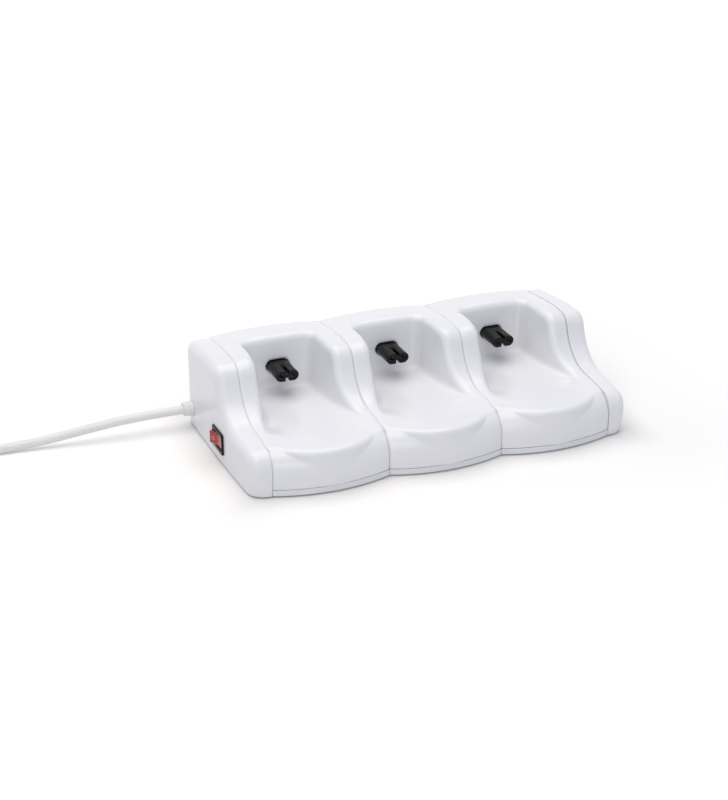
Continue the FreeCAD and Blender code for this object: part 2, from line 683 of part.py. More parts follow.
def make_base_plates():
    """Shallow trays under the bays, cut out round the shells' bosses and for the base screws."""
    floor = "floor_clearance + base_floor"
    for name, bay in BAYS.items():
        tray = bowed_block("base_rim", floor, "parting_height + 1")
        pillars = []
        holes = []
        for depth in ("base_screw_front", SCREW_BACK):
            pillars.append(along_z("base_boss_radius", "parting_height", ("0", depth, floor)))
            holes.append(along_z("base_screw_radius + screw_clearance", "parting_height",
                                 ("0", depth, "floor_clearance")))
            holes.append(along_z("base_head_radius + head_play", "base_head_height",
                                 ("0", depth, "floor_clearance")))
        plate = bowed_block("0", "floor_clearance", "parting_height")
        publish(cut(plate, cut(tray, *pillars), *holes), f"base_plate_{name}", bay)


def make_rubber_feet():
    feet = []
    for bay in ("-bay_pitch", "0", "bay_pitch"):
        for side in ("- foot_x", "+ foot_x"):
            for depth in ("foot_front", FOOT_BACK):
                feet.append(along_z("foot_radius", "floor_clearance", (f"{bay} {side}", depth, "0")))
    publish(group(*feet), "rubber_feet")


def make_base_screws():
    screws = []
    for bay in ("-bay_pitch", "0", "bay_pitch"):
        for depth in ("base_screw_front", SCREW_BACK):
            head = along_z("base_head_radius", "base_head_height", (bay, depth, "floor_clearance"))
            shank = along_z("base_screw_radius", "base_screw_length", (bay, depth, "floor_clearance"))
            screws.append(fused(head, shank))
    publish(group(*screws), "base_screws")


# ---------------------------------------------------------------- screws between the modules

def make_joining_screws():
    """Screws through the side walls: into the caps at the ends, with nuts between the bays."""
    screws = []
    nuts = []
    inner = "(bay_pitch - seam_gap) / 2 - side_wall"
    places = (("joint_low_depth", "joint_low_height"), (JOINT_HIGH, "joint_high_height"))
    for depth, height in places:
        reach = "side_wall + joint_screw_reach"
        head = f"bay_pitch + {inner} - joint_head_height"
        screws.append(fused(
            along_x("joint_head_radius", "joint_head_height", (head, depth, height)),
            along_x("joint_screw_radius", reach, (f"bay_pitch + {inner}", depth, height))))
        screws.append(fused(
            along_x("joint_head_radius", "joint_head_height", (f"-bay_pitch - ({inner})", depth, height)),
            along_x("joint_screw_radius", reach, (f"-bay_pitch - ({inner}) - side_wall - joint_screw_reach",
                                                  depth, height))))
        for bay in ("-bay_pitch", "0"):
            screws.append(fused(
                along_x("joint_head_radius", "joint_head_height", (f"{bay} + {inner} - joint_head_height",
                                                                   depth, height)),
                along_x("joint_screw_radius", "2 * side_wall + seam_gap + nut_height + 1",
                        (f"{bay} + {inner}", depth, height))))
            face = f"{bay} + {inner} + 2 * side_wall + seam_gap"
            nut = solid("Prism", {"Circumradius": "nut_width / sqrt(3)", "Height": "nut_height"},
                        (face, depth, height), Vector(0, 1, 0), 90)
            nut.Polygon = 6
            bore = along_x("joint_screw_radius + screw_clearance", "nut_height + 2", (f"{face} - 1", depth, height))
            nuts.append(cut(nut, bore))
    publish(group(*screws), "joining_screws")
    publish(group(*nuts), "joining_nuts")


# ---------------------------------------------------------------- connectors

def pill(radius, length, at_depth, half_spacing="pin_spacing / 2"):
    """Two cylinders along Y joined by a bar: the rounded slot form of the connector."""
    z = "connector_height"
    return fused(
        along_y(radius, length, (f"-({half_spacing})", at_depth, z)),
        along_y(radius, length, (half_spacing, at_depth, z)),
        box(f"2 * ({half_spacing})", length, f"2 * ({radius})", (f"-({half_spacing})", at_depth, f"{z} - ({radius})")))


def connector_body():
    """Figure-eight connector: lobes and grooves in front, flange and rear boss behind the wall."""
    front = CONNECTOR_FRONT
    z = "connector_height"
    barrel = pill("lobe_radius", f"{SEAT_BACK} - {front}", front)
    grooves = [
        box("groove_width", "groove_length", "lobe_radius", ("-groove_width / 2", front, f"{z} + web_height / 2")),
        box("groove_width", "groove_length", "lobe_radius",
            ("-groove_width / 2", front, f"{z} - web_height / 2 - lobe_radius")),
    ]
    flange = box("flange_width", "flange_thickness", "flange_height",
                 ("-flange_width / 2", SEAT_BACK, f"{z} - flange_height / 2"))
    boss = box("rear_boss_width", "rear_boss_length", "rear_boss_height",
               ("-rear_boss_width / 2", f"{SEAT_BACK} + flange_thickness", f"{z} - rear_boss_height / 2"))
    holes = []
    for x in ("-pin_spacing / 2", "pin_spacing / 2"):
        holes.append(along_y("contact_bore", "mouth_length + 1", (x, front, z)))
        holes.append(along_y("contact_radius + contact_play", "contact_length + contact_play",
                             (x, f"{front} + mouth_length", z)))
        holes.append(along_y("tail_radius + contact_play", f"rear_boss_length + {SEAT_BACK}",
                             (x, f"{front} + mouth_length + contact_length - 1", z)))
    return cut(fused(barrel, flange, boss), *grooves, *holes)


def connector_contacts():
    """Two sleeve contacts with tails that end at the two wire runs behind the recess."""
    z = "connector_height"
    pair = []
    start = f"{CONNECTOR_FRONT} + mouth_length"
    for x, run in (("-pin_spacing / 2", LIVE_RUN), ("pin_spacing / 2", NEUTRAL_RUN)):
        sleeve = along_y("contact_radius", "contact_length", (x, start, z))
        bore = along_y("contact_bore", "contact_length - 1", (x, start, z))
        tail = along_y("tail_radius", f"{run} + wire_radius - ({start}) - contact_length",
                       (x, f"{start} + contact_length", z))
        pair.append(fused(cut(sleeve, bore), tail))
    return group(*pair)


def connector_retainer():
    """Plate that holds the connector's flange against its seat."""
    z = "connector_height"
    y = f"{SEAT_BACK} + flange_thickness"
    plate = box("retainer_width", "retainer_thickness", "retainer_height",
                ("-retainer_width / 2", y, f"{z} - retainer_height / 2"))
    opening = box("rear_boss_width + 2 * opening_play", "retainer_thickness", "rear_boss_height + 2 * opening_play",
                  ("-rear_boss_width / 2 - opening_play", y, f"{z} - rear_boss_height / 2 - opening_play"))
    holes = [along_y("retainer_screw_radius + screw_clearance", "retainer_thickness", (x, y, z))
             for x in ("-retainer_screw_x", "retainer_screw_x")]
    return cut(plate, opening, *holes)


def make_connectors():
    screws = []
    for name, bay in BAYS.items():
        publish(connector_body(), f"connector_body_{name}", bay)
        publish(connector_contacts(), f"connector_contacts_{name}", bay)
        publish(connector_retainer(), f"connector_retainer_{name}", bay)
        for side in ("- retainer_screw_x", "+ retainer_screw_x"):
            x = f"{bay} * bay_pitch {side}"
            y = f"{SEAT_BACK} + flange_thickness + retainer_thickness"
            screws.append(fused(
                along_y("retainer_head_radius", "retainer_head_height", (x, y, "connector_height")),
                along_y("retainer_screw_radius", "retainer_screw_reach", (x, f"{y} - retainer_screw_reach",
                                                                          "connector_height"))))
    publish(group(*screws), "retainer_screws")


# ---------------------------------------------------------------- rocker switch

# expressions for the bezel's seat and, in X, the line that the rocker turns about
SWITCH_SEAT = f"({CAP_SIDE} + switch_sink)"
PIVOT_X = f"({SWITCH_SEAT} - bezel_thickness + pivot_sink)"
BEHIND_PIVOT = "(bezel_thickness - pivot_sink + housing_reach - housing_floor)"
FULL_TURN = Vector(0, 0, 1)


def seat_x():
    """X of the flat seat behind the bezel; the switch looks towards -X."""
    return -cap_outside + size.switch_sink


def pivot_x():
    return seat_x() - size.bezel_thickness + size.pivot_sink


def rounded_plate(thickness, length, height, corner, at):
    """Plate across X with round corners, by its middle."""
    x, y, z = at
    half_y, half_z = f"({length} / 2 - {corner})", f"({height} / 2 - {corner})"
    bars = [
        box(thickness, length, f"2 * {half_z}", (x, f"{y} - {length} / 2", f"{z} - {half_z}")),
        box(thickness, f"2 * {half_y}", height, (x, f"{y} - {half_y}", f"{z} - {height} / 2")),
    ]
    for across in ("-", "+"):
        for up in ("-", "+"):
            bars.append(along_x(corner, thickness, (x, f"{y} {across} {half_y}", f"{z} {up} {half_z}")))
    return fused(*bars)


def switch_housing():
    """Bezel and body in one, open in front for the rocker, slotted behind for the terminals."""
    y, z = "switch_depth", "switch_height"
    face = f"{SWITCH_SEAT} - bezel_thickness"
    bezel = rounded_plate("bezel_thickness", "bezel_length", "bezel_height", "bezel_corner", (face, y, z))
    body = box("housing_reach", "housing_length", "housing_height",
               (SWITCH_SEAT, f"{y} - housing_length / 2", f"{z} - housing_height / 2"))
    mouth = "(rocker_radius + rocker_play)"
    half_well = "(rocker_height / 2 + rocker_play)"
    well = box("bezel_thickness + housing_reach - housing_floor", f"2 * {mouth}", f"2 * {half_well}",
               (face, f"{y} - {mouth}", f"{z} - {half_well}"))
    reach = "(rocker_height / 2 + trunnion_length + rocker_play / 2)"
    bearing = along_z("trunnion_radius + trunnion_play", f"2 * {reach}", (PIVOT_X, y, f"{z} - {reach}"))
    slots = [terminal_blade(place, "terminal_play", "0") for place in (-1, 0, 1)]
    publish(cut(fused(bezel, body), well, bearing, *slots), "switch_housing")


def terminal_blade(place, play, top):
    """Flat blade through the housing's floor; top is how far it stands inside the housing."""
    thick, wide = f"(terminal_thickness + {play})", f"(terminal_width + {play})"
    return box(f"{top} + housing_floor + terminal_reach", thick, wide,
               (f"{PIVOT_X} + {BEHIND_PIVOT} - ({top})", f"switch_depth + {place} * terminal_spacing - {thick} / 2",
                f"switch_height - {wide} / 2"))


def switch_terminals():
    """Three blades: a pad at each end under the see-saw arm and a saddle in the middle."""
    saddle = f"{BEHIND_PIVOT} - arm_pivot - arm_knuckle - terminal_gap"
    drop = "arm_length / 2 * sin(arm_tilt) + arm_thickness / 2 + arm_thickness / 4"
    pad = f"{BEHIND_PIVOT} - arm_pivot - ({drop}) - terminal_gap"
    publish(group(*[terminal_blade(place, "0", top) for place, top in ((-1, pad), (0, saddle), (1, pad))]),
            "switch_terminals")


def about_pivot(obj, x, angle, label):
    """Publish a piece built about its own pivot, turned about the upright line through it."""
    place = Vector(x, size.switch_depth, size.switch_height)
    obj.Placement = FreeCAD.Placement(place, FreeCAD.Rotation(FULL_TURN, angle))
    publish(obj, label)


def switch_rocker():
    """Rocker about its pivot: a disc cut to two faces in a shallow V, hollow for lamp and plunger."""
    radius, half = "rocker_radius", "(rocker_height / 2)"
    dip = f"({radius} * (sin(rocker_corner_angle) - cos(rocker_corner_angle) * tan(rocker_tilt)))"
    far = f"(2 * {radius})"
    disc = along_z(radius, f"2 * {half}", ("0", "0", f"-{half}"))
    skirt = box(far, f"2 * {far}", f"2 * {half}", (f"{radius} * sin(rocker_skirt_angle)", f"-{far}", f"-{half}"))
    rear = solid("Box", {"Length": far, "Width": far, "Height": f"2 * {half}"},
                 (f"-{dip} - {far} * cos(rocker_tilt)", f"-{far} * sin(rocker_tilt)", f"-{half}"),
                 Vector(0, 0, 1), "rocker_tilt")
    front = solid("Box", {"Length": far, "Width": far, "Height": f"2 * {half}"},
                  (f"-{dip} - {far} * (cos(rocker_tilt) + sin(rocker_tilt))",
                   f"{far} * (sin(rocker_tilt) - cos(rocker_tilt))", f"-{half}"),
                  Vector(0, 0, -1), "rocker_tilt")
    trunnion = along_z("trunnion_radius", f"2 * ({half} + trunnion_length)",
                       ("0", "0", f"-{half} - trunnion_length"))
    pocket_half = "(lamp_length / 2 + contact_play)"
    pocket_wide = "(lamp_radius + contact_play + rocker_play)"
    pocket = box(radius, f"2 * {pocket_wide}", f"2 * {pocket_half}",
                 ("0", f"-lamp_offset - {pocket_wide}", f"-{pocket_half}"))
    socket = along_x("plunger_radius + contact_play", radius, ("0", "0", "0"))
    rocker = cut(fused(cut(disc, skirt, rear, front), trunnion), pocket, socket)
    about_pivot(rocker, pivot_x(), size.rocker_tilt, "switch_rocker")


def switch_plunger():
    """Spring plunger in the rocker, with a round tip towards the contact arm."""
    straight = "plunger_reach - plunger_radius"
    pin = along_x("plunger_radius", straight, ("0", "0", "0"))
    tip = solid("Sphere", {"Radius": "plunger_radius"}, (straight, "0", "0"))
    about_pivot(fused(pin, tip), pivot_x(), size.rocker_tilt, "switch_plunger")


def neon_lamp():
    """Small glass lamp upright in the rocker's pocket."""
    lamp = along_z("lamp_radius", "lamp_length", ("lamp_radius", "-lamp_offset", "-lamp_length / 2"))
    about_pivot(group(lamp), pivot_x(), size.rocker_tilt, "neon_lamp")


def contact_arm():
    """See-saw contact strip with the round knuckle it rocks on, its rear end down at rest."""
    strip = box("arm_thickness", "arm_length", "arm_width", ("-arm_thickness / 2", "-arm_length / 2", "-arm_width / 2"))
    knuckle = along_z("arm_knuckle", "arm_width", ("0", "0", "-arm_width / 2"))
    upper = box("arm_knuckle", "2 * arm_knuckle", "arm_width", ("-arm_knuckle", "-arm_knuckle", "-arm_width / 2"))
    about_pivot(fused(strip, cut(knuckle, upper)), pivot_x() + size.arm_pivot, -size.arm_tilt, "contact_arm")


def make_switch():
    switch_housing()
    switch_rocker()
    switch_plunger()
    neon_lamp()
    contact_arm()
    switch_terminals()


# ---------------------------------------------------------------- wires and the mains lead

def bend_path(points, radius_of):
    """Straight runs joined by tangent arcs; radius_of gives each corner's radius. Returns wire, length, radii."""
    edges = []
    length = 0.0
    radii = []
    start = points[0]
    for i in range(1, len(points) - 1):
        corner = points[i]
        back = (points[i - 1] - corner).normalize()
        ahead = (points[i + 1] - corner).normalize()
        half = back.getAngle(ahead) / 2
        radius = radius_of(points[i - 1].distanceToPoint(corner), points[i + 1].distanceToPoint(corner), half)
        run = radius / math.tan(half)
        inward = (back + ahead).normalize()
        first, last = corner + back * run, corner + ahead * run
        edges.append(Part.LineSegment(start, first).toShape())
        edges.append(Part.Arc(first, corner + inward * (radius / math.sin(half) - radius), last).toShape())
        length += start.distanceToPoint(first) + radius * (math.pi - 2 * half)
        radii.append(radius)
        start = last
    edges.append(Part.LineSegment(start, points[-1]).toShape())
    length += start.distanceToPoint(points[-1])
    return Part.Wire(edges), length, radii


def tube(points, radius, radius_of):
    """Round tube along the path."""
    path, length, radii = bend_path(points, radius_of)
    direction = (points[1] - points[0]).normalize()
    section = Part.Wire([Part.Circle(points[0], direction, radius).toShape()])
    return path.makePipeShell([section], True, False), length, radii


def wire_tube(points):
    shape, _, _ = tube([Vector(*p) for p in points], size.wire_radius, lambda before, after, half: size.wire_bend)
    return shape


def blade_tip():
    return seat_x() + size.housing_reach + size.terminal_reach + size.joint_air


def run_with_taps(start_points, run_depth, run_height, side):
    """A wire along the back of the housing with an upright tap to each connector's tail."""
    last = size.bay_pitch + side * size.pin_spacing / 2
    top = size.connector_height - size.tail_radius - size.joint_air
    shape = wire_tube(start_points + [(last, run_depth, run_height), (last, run_depth, top)])
    for bay in (-1, 0):
        foot = Vector(bay * size.bay_pitch + side * size.pin_spacing / 2, run_depth, run_height)
        shape = shape.fuse(Part.makeCylinder(size.wire_radius, top - run_height, foot))
    return shape.removeSplitter()


def make_wires():
    """Inner wiring: lead to switch, switch to the live run, lead to the neutral run, lamp's return."""
    spread = size.lead_radius / 2
    lead_end = -cap_outside + size.lead_inner_end + size.joint_air
    blade = size.terminal_spacing
    y, z = size.switch_depth, size.switch_height
    live_z, neutral_z = size.lead_height + spread, size.lead_height - spread
    gap = 3.2 * size.wire_radius
    first, second, third = blade_tip() + 2 * gap, blade_tip() + 3 * gap, blade_tip() + 4 * gap
    feature("live_feed_wire", wire_tube([
        (lead_end, lead_depth, live_z), (first, lead_depth, live_z),
        (first, y + blade, z), (blade_tip(), y + blade, z)]))
    feature("switched_live_wire", run_with_taps([
        (blade_tip(), y, z), (second, y, z), (second, live_run_depth, size.live_run_height)],
        live_run_depth, size.live_run_height, -1))
    feature("neutral_wire", run_with_taps([
        (lead_end, lead_depth, neutral_z), (lead_end + 2 * gap, lead_depth, neutral_z),
        (lead_end + 4 * gap, neutral_run_depth, neutral_z), (third + gap, neutral_run_depth, neutral_z),
        (third + 4 * gap, neutral_run_depth, size.neutral_run_height)],
        neutral_run_depth, size.neutral_run_height, 1))
    feature("lamp_return_wire", wire_tube([
        (third, neutral_run_depth - size.wire_radius - size.joint_air, neutral_z),
        (third, y - blade, neutral_z), (blade_tip(), y - blade, z)]))


def lead_exit():
    """Where the lead leaves its bush."""
    return Vector(-cap_outside - size.bush_proud, lead_depth, size.lead_height)


def make_strain_relief():
    """Tapered bush through the cap's wall and the lead's first length inside it."""
    y, z = LEAD, "lead_height"
    collar = solid("Cone", {"Radius1": "bush_tip_radius", "Radius2": "bush_radius", "Height": "bush_proud"},
                   (f"{CAP_SIDE} - bush_proud", y, z), Vector(0, 1, 0), 90)
    neck = along_x("bush_neck_radius", "wall + bush_inner_length", (CAP_SIDE, y, z))
    bore = along_x("lead_radius + contact_play", "bush_proud + wall + bush_inner_length + 2",
                   (f"{CAP_SIDE} - bush_proud - 1", y, z))
    publish(cut(fused(collar, neck), bore), "strain_relief_bush")
    inside = along_x("lead_radius", "bush_proud + lead_inner_end", (f"{CAP_SIDE} - bush_proud", y, z))
    publish(group(inside), "lead_inside")


LEAD_ROUTE = [
    (-34.0, 0.0, 14.0),
    (-66.0, 2.0, 10.2),
    (-96.0, 5.0, 5.2),
    (-128.0, 7.0, 3.3),
    (-162.0, 6.2, 3.3),
]
COIL_MIDDLE = (-185.0, -32.0)     # from the exit, in X and depth


def make_lead():
    exit_point = lead_exit()
    points = [exit_point] + [Vector(exit_point.x + x, exit_point.y + y, z) for x, y, z in LEAD_ROUTE]

    def widest(before, after, half):
        return 0.45 * min(before, after) * math.tan(half)

    shape, length, radii = tube(points, size.lead_radius, widest)
    print("lead bend radii:", [round(r, 1) for r in radii], "length:", round(length, 1))
    section = math.pi * size.lead_radius ** 2
    print("lead volume against section times length:", round(shape.Volume / (section * length), 4))
    feature("power_cord", shape)

    middle = (f"{CAP_SIDE} - bush_proud + {COIL_MIDDLE[0]}", f"{LEAD} + {COIL_MIDDLE[1]}", "0")
    height = "2 * coil_high * lead_radius"
    outer = along_z("coil_radius + coil_wide * lead_radius", height, middle)
    inner = along_z("coil_radius - coil_wide * lead_radius", height, middle)
    publish(cut(outer, inner), "cord_coil")
    centre = exit_point + Vector(*COIL_MIDDLE, -exit_point.z)
    make_plug(centre, 2 * size.coil_high * size.lead_radius)


def make_plug(centre, floor):
    """Flat two-pin plug lying on the coil's left side, pins towards the front."""
    middle = floor + size.plug_height / 2
    neck, wide = size.plug_neck_width / 2, size.plug_width / 2
    x = centre.x - size.coil_radius
    back = centre.y + size.plug_length / 2
    front = back - size.plug_length
    shoulder = back - 0.62 * size.plug_length
    corners = [(x - neck, back), (x + neck, back), (x + wide, shoulder), (x + wide, front), (x - wide, front),
               (x - wide, shoulder)]
    radii = [neck / 2, neck / 2, wide / 2, 2, 2, wide / 2]
    body = Part.Face(rounded_wire(corners, radii, lambda p: Vector(p.x, p.y, floor)))
    body = body.extrude(Vector(0, 0, size.plug_height))
    relief = Part.makeCylinder(size.plug_relief_radius, size.plug_relief_length, Vector(x, back, middle), Vector(0, 1, 0))
    along = Vector(0, 1, 0)
    places = [x + side * size.plug_pin_spacing / 2 for side in (-1, 1)]
    roots = [Part.makeCylinder(size.plug_root_radius, size.plug_root_length, Vector(place, front, middle), along)
             for place in places]
    feature("plug_body", body.fuse(relief).cut(roots))
    tip = front - size.plug_pin_length
    pins = [Part.makeCylinder(size.plug_pin_radius, size.plug_pin_length, Vector(place, tip, middle), along)
            for place in places]
    feature("plug_pins", Part.makeCompound([pin.fuse(root) for pin, root in zip(pins, roots)]))


# ---------------------------------------------------------------- build, check, write

def check_document():
    """Stop on any failed object and on any sub-part that is empty or not valid."""
    for obj in doc.Objects:
        if "Invalid" in obj.State or "Error" in obj.State:
            raise RuntimeError(f"{obj.Label} failed: {obj.State}")
    for obj in nodes:
        if obj.Shape.isNull() or not obj.Shape.isValid() or not obj.Shape.Solids:
            raise RuntimeError(f"{obj.Label} has no valid solid")


def write_parts():
    os.makedirs("parts", exist_ok=True)
    for obj in nodes:
        obj.Shape.exportStep(f"parts/{obj.Label}.step")
        box_ = obj.Shape.BoundBox
        print(f"{obj.Label:28s} solids {len(obj.Shape.Solids):2d}  volume {obj.Shape.Volume:9.1f}  "
              f"x {box_.XMin:7.1f} {box_.XMax:7.1f}  y {box_.YMin:6.1f} {box_.YMax:6.1f}  "
              f"z {box_.ZMin:5.1f} {box_.ZMax:5.1f}")


make_bay_shells()
make_end_caps()
make_base_plates()
make_rubber_feet()
make_base_screws()
make_joining_screws()
make_connectors()
make_switch()
make_strain_relief()
make_wires()
make_lead()
doc.recompute()
check_document()
write_parts()
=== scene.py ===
"""Looks of a three-bay power base for roll-on wax heaters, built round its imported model."""
import json
import math

import bmesh
import bpy
import numpy as np
from mathutils import Matrix, Vector


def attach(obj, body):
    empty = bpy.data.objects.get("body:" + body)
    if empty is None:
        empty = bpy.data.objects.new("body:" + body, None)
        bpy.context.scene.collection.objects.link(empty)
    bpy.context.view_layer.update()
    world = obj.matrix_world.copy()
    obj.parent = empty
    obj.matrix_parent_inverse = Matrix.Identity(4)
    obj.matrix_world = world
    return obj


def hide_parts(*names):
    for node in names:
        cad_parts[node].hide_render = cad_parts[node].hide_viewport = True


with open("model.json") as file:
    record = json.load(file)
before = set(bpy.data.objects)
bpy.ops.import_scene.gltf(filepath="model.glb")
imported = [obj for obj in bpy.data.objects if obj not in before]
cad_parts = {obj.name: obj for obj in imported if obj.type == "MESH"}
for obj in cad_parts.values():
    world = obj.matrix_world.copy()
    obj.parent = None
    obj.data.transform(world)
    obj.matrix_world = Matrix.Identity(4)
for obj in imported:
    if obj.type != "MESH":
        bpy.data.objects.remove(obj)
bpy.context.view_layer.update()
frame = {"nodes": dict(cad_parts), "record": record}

bl_info = {
    "name": "Wax heater power base",
    "version": (1, 0, 0),
    "blender": (4, 5, 0),
    "location": "View3D > Sidebar > Power base",
    "description": "Surfaces, lead and studio of a three-bay power base",
    "category": "Add Mesh",
}

# Lengths are in millimetres. A depth counts from the front foot of a seam.
MM = 0.001
BAY_PITCH = 81.0
BAYS = {"left": -1, "middle": 0, "right": 1}
HALF_DEPTH = 66.75          # depth of the frame's origin
CAP_OUTSIDE = 137.3

# -------- colours and materials


def linear(hex_colour):
    """sRGB hex to linear RGBA: c/12.92 below 0.04045, else ((c + 0.055)/1.055)^2.4."""
    channels = np.array([int(hex_colour[i:i + 2], 16) for i in (1, 3, 5)]) / 255
    values = np.where(channels <= 0.04045, channels / 12.92, ((channels + 0.055) / 1.055) ** 2.4)
    return (*values.tolist(), 1.0)


def add_node(tree, kind, settings=None, inputs=None):
    """One node with its settings, and each input set to a value or linked to a socket."""
    node = tree.nodes.new(kind)
    for name, value in (settings or {}).items():
        setattr(node, name, value)
    for name, value in (inputs or {}).items():
        if isinstance(value, bpy.types.NodeSocket):
            tree.links.new(value, node.inputs[name])
        else:
            node.inputs[name].default_value = value
    return node


def new_material(name):
    """A node material with nothing but its output."""
    material = bpy.data.materials.new(name)
    material.use_nodes = True
    tree = material.node_tree
    tree.nodes.clear()
    return material, tree, add_node(tree, "ShaderNodeOutputMaterial")


def make_finish(name, patterns, colour, rough, bump=None, edge=None, values=None):
    """A finish whose patterns are noises on Object coordinates, each of a real size.

    patterns: name to (size in mm, detail) or (size, detail, stretch); a noise's scale is 1 / size
    colour:   (hex, hex, pattern), a mix of both
    rough:    (low, high, start, end, pattern), from low to high as the pattern goes from start
              to end; or one number
    bump:     (strength, height in mm, pattern)
    edge:     (radius in mm, samples) of softened edges
    values:   what the shader's other sockets hold all over"""
    material, tree, output = new_material(name)
    place = add_node(tree, "ShaderNodeTexCoord").outputs["Object"]
    noises = {}
    for pattern, (size, detail, *stretch) in patterns.items():
        inputs = {"Vector": place, "Scale": 1 / (size * MM), "Detail": detail}
        if stretch:
            lengths = {"Vector": place, "Scale": stretch[0]}
            inputs["Vector"] = add_node(tree, "ShaderNodeMapping", None, lengths).outputs["Vector"]
        noises[pattern] = add_node(tree, "ShaderNodeTexNoise", None, inputs).outputs["Fac"]

    low, high, pattern = colour
    # sockets 0, 6 and 7 of a Mix node are its factor and its two colours, and output 2 its colour
    mix = {0: noises[pattern], 6: linear(low), 7: linear(high)}
    sockets = dict(values or {})
    sockets["Base Color"] = add_node(tree, "ShaderNodeMix", {"data_type": "RGBA"}, mix).outputs[2]
    sockets["Roughness"] = rough
    if isinstance(rough, tuple):
        low, high, start, end, pattern = rough
        steps = {"Value": noises[pattern], "From Min": start, "From Max": end,
                 "To Min": low, "To Max": high}
        sockets["Roughness"] = add_node(tree, "ShaderNodeMapRange", None, steps).outputs["Result"]
    if edge:
        radius, samples = edge
        soft = add_node(tree, "ShaderNodeBevel", {"samples": samples}, {"Radius": radius * MM})
        sockets["Normal"] = soft.outputs["Normal"]
    if bump:
        strength, height, pattern = bump
        waves = {"Height": noises[pattern], "Strength": strength, "Distance": height * MM}
        if edge:
            waves["Normal"] = sockets["Normal"]
        sockets["Normal"] = add_node(tree, "ShaderNodeBump", None, waves).outputs["Normal"]
    shader = add_node(tree, "ShaderNodeBsdfPrincipled", None, sockets)
    tree.links.new(shader.outputs["BSDF"], output.inputs["Surface"])
    return material


def pvc(name, low, high):
    """Extruded or moulded soft PVC: satin, with a faint fine grain and soft unevenness."""
    return dict(
        name=name, patterns={"mottle": (9, 2.0), "skin": (1.6, 3.0)},
        colour=(low, high, "mottle"), rough=(0.36, 0.5, 0.3, 0.7, "skin"),
        bump=(0.22, 0.06, "skin"),
        values={"IOR": 1.53, "Subsurface Weight": 0.08, "Subsurface Radius": (1.0, 1.0, 1.0),
                "Subsurface Scale": 0.8 * MM})


def metal(name, low, high, rough_low, rough_high, grain):
    """Plated metal: a mirror-like skin dulled by the fine texture of drawing or rolling."""
    return dict(
        name=name, patterns={"grain": grain}, colour=(low, high, "grain"),
        rough=(rough_low, rough_high, 0.3, 0.7, "grain"), bump=(0.2, 0.02, "grain"),
        values={"Metallic": 1.0})


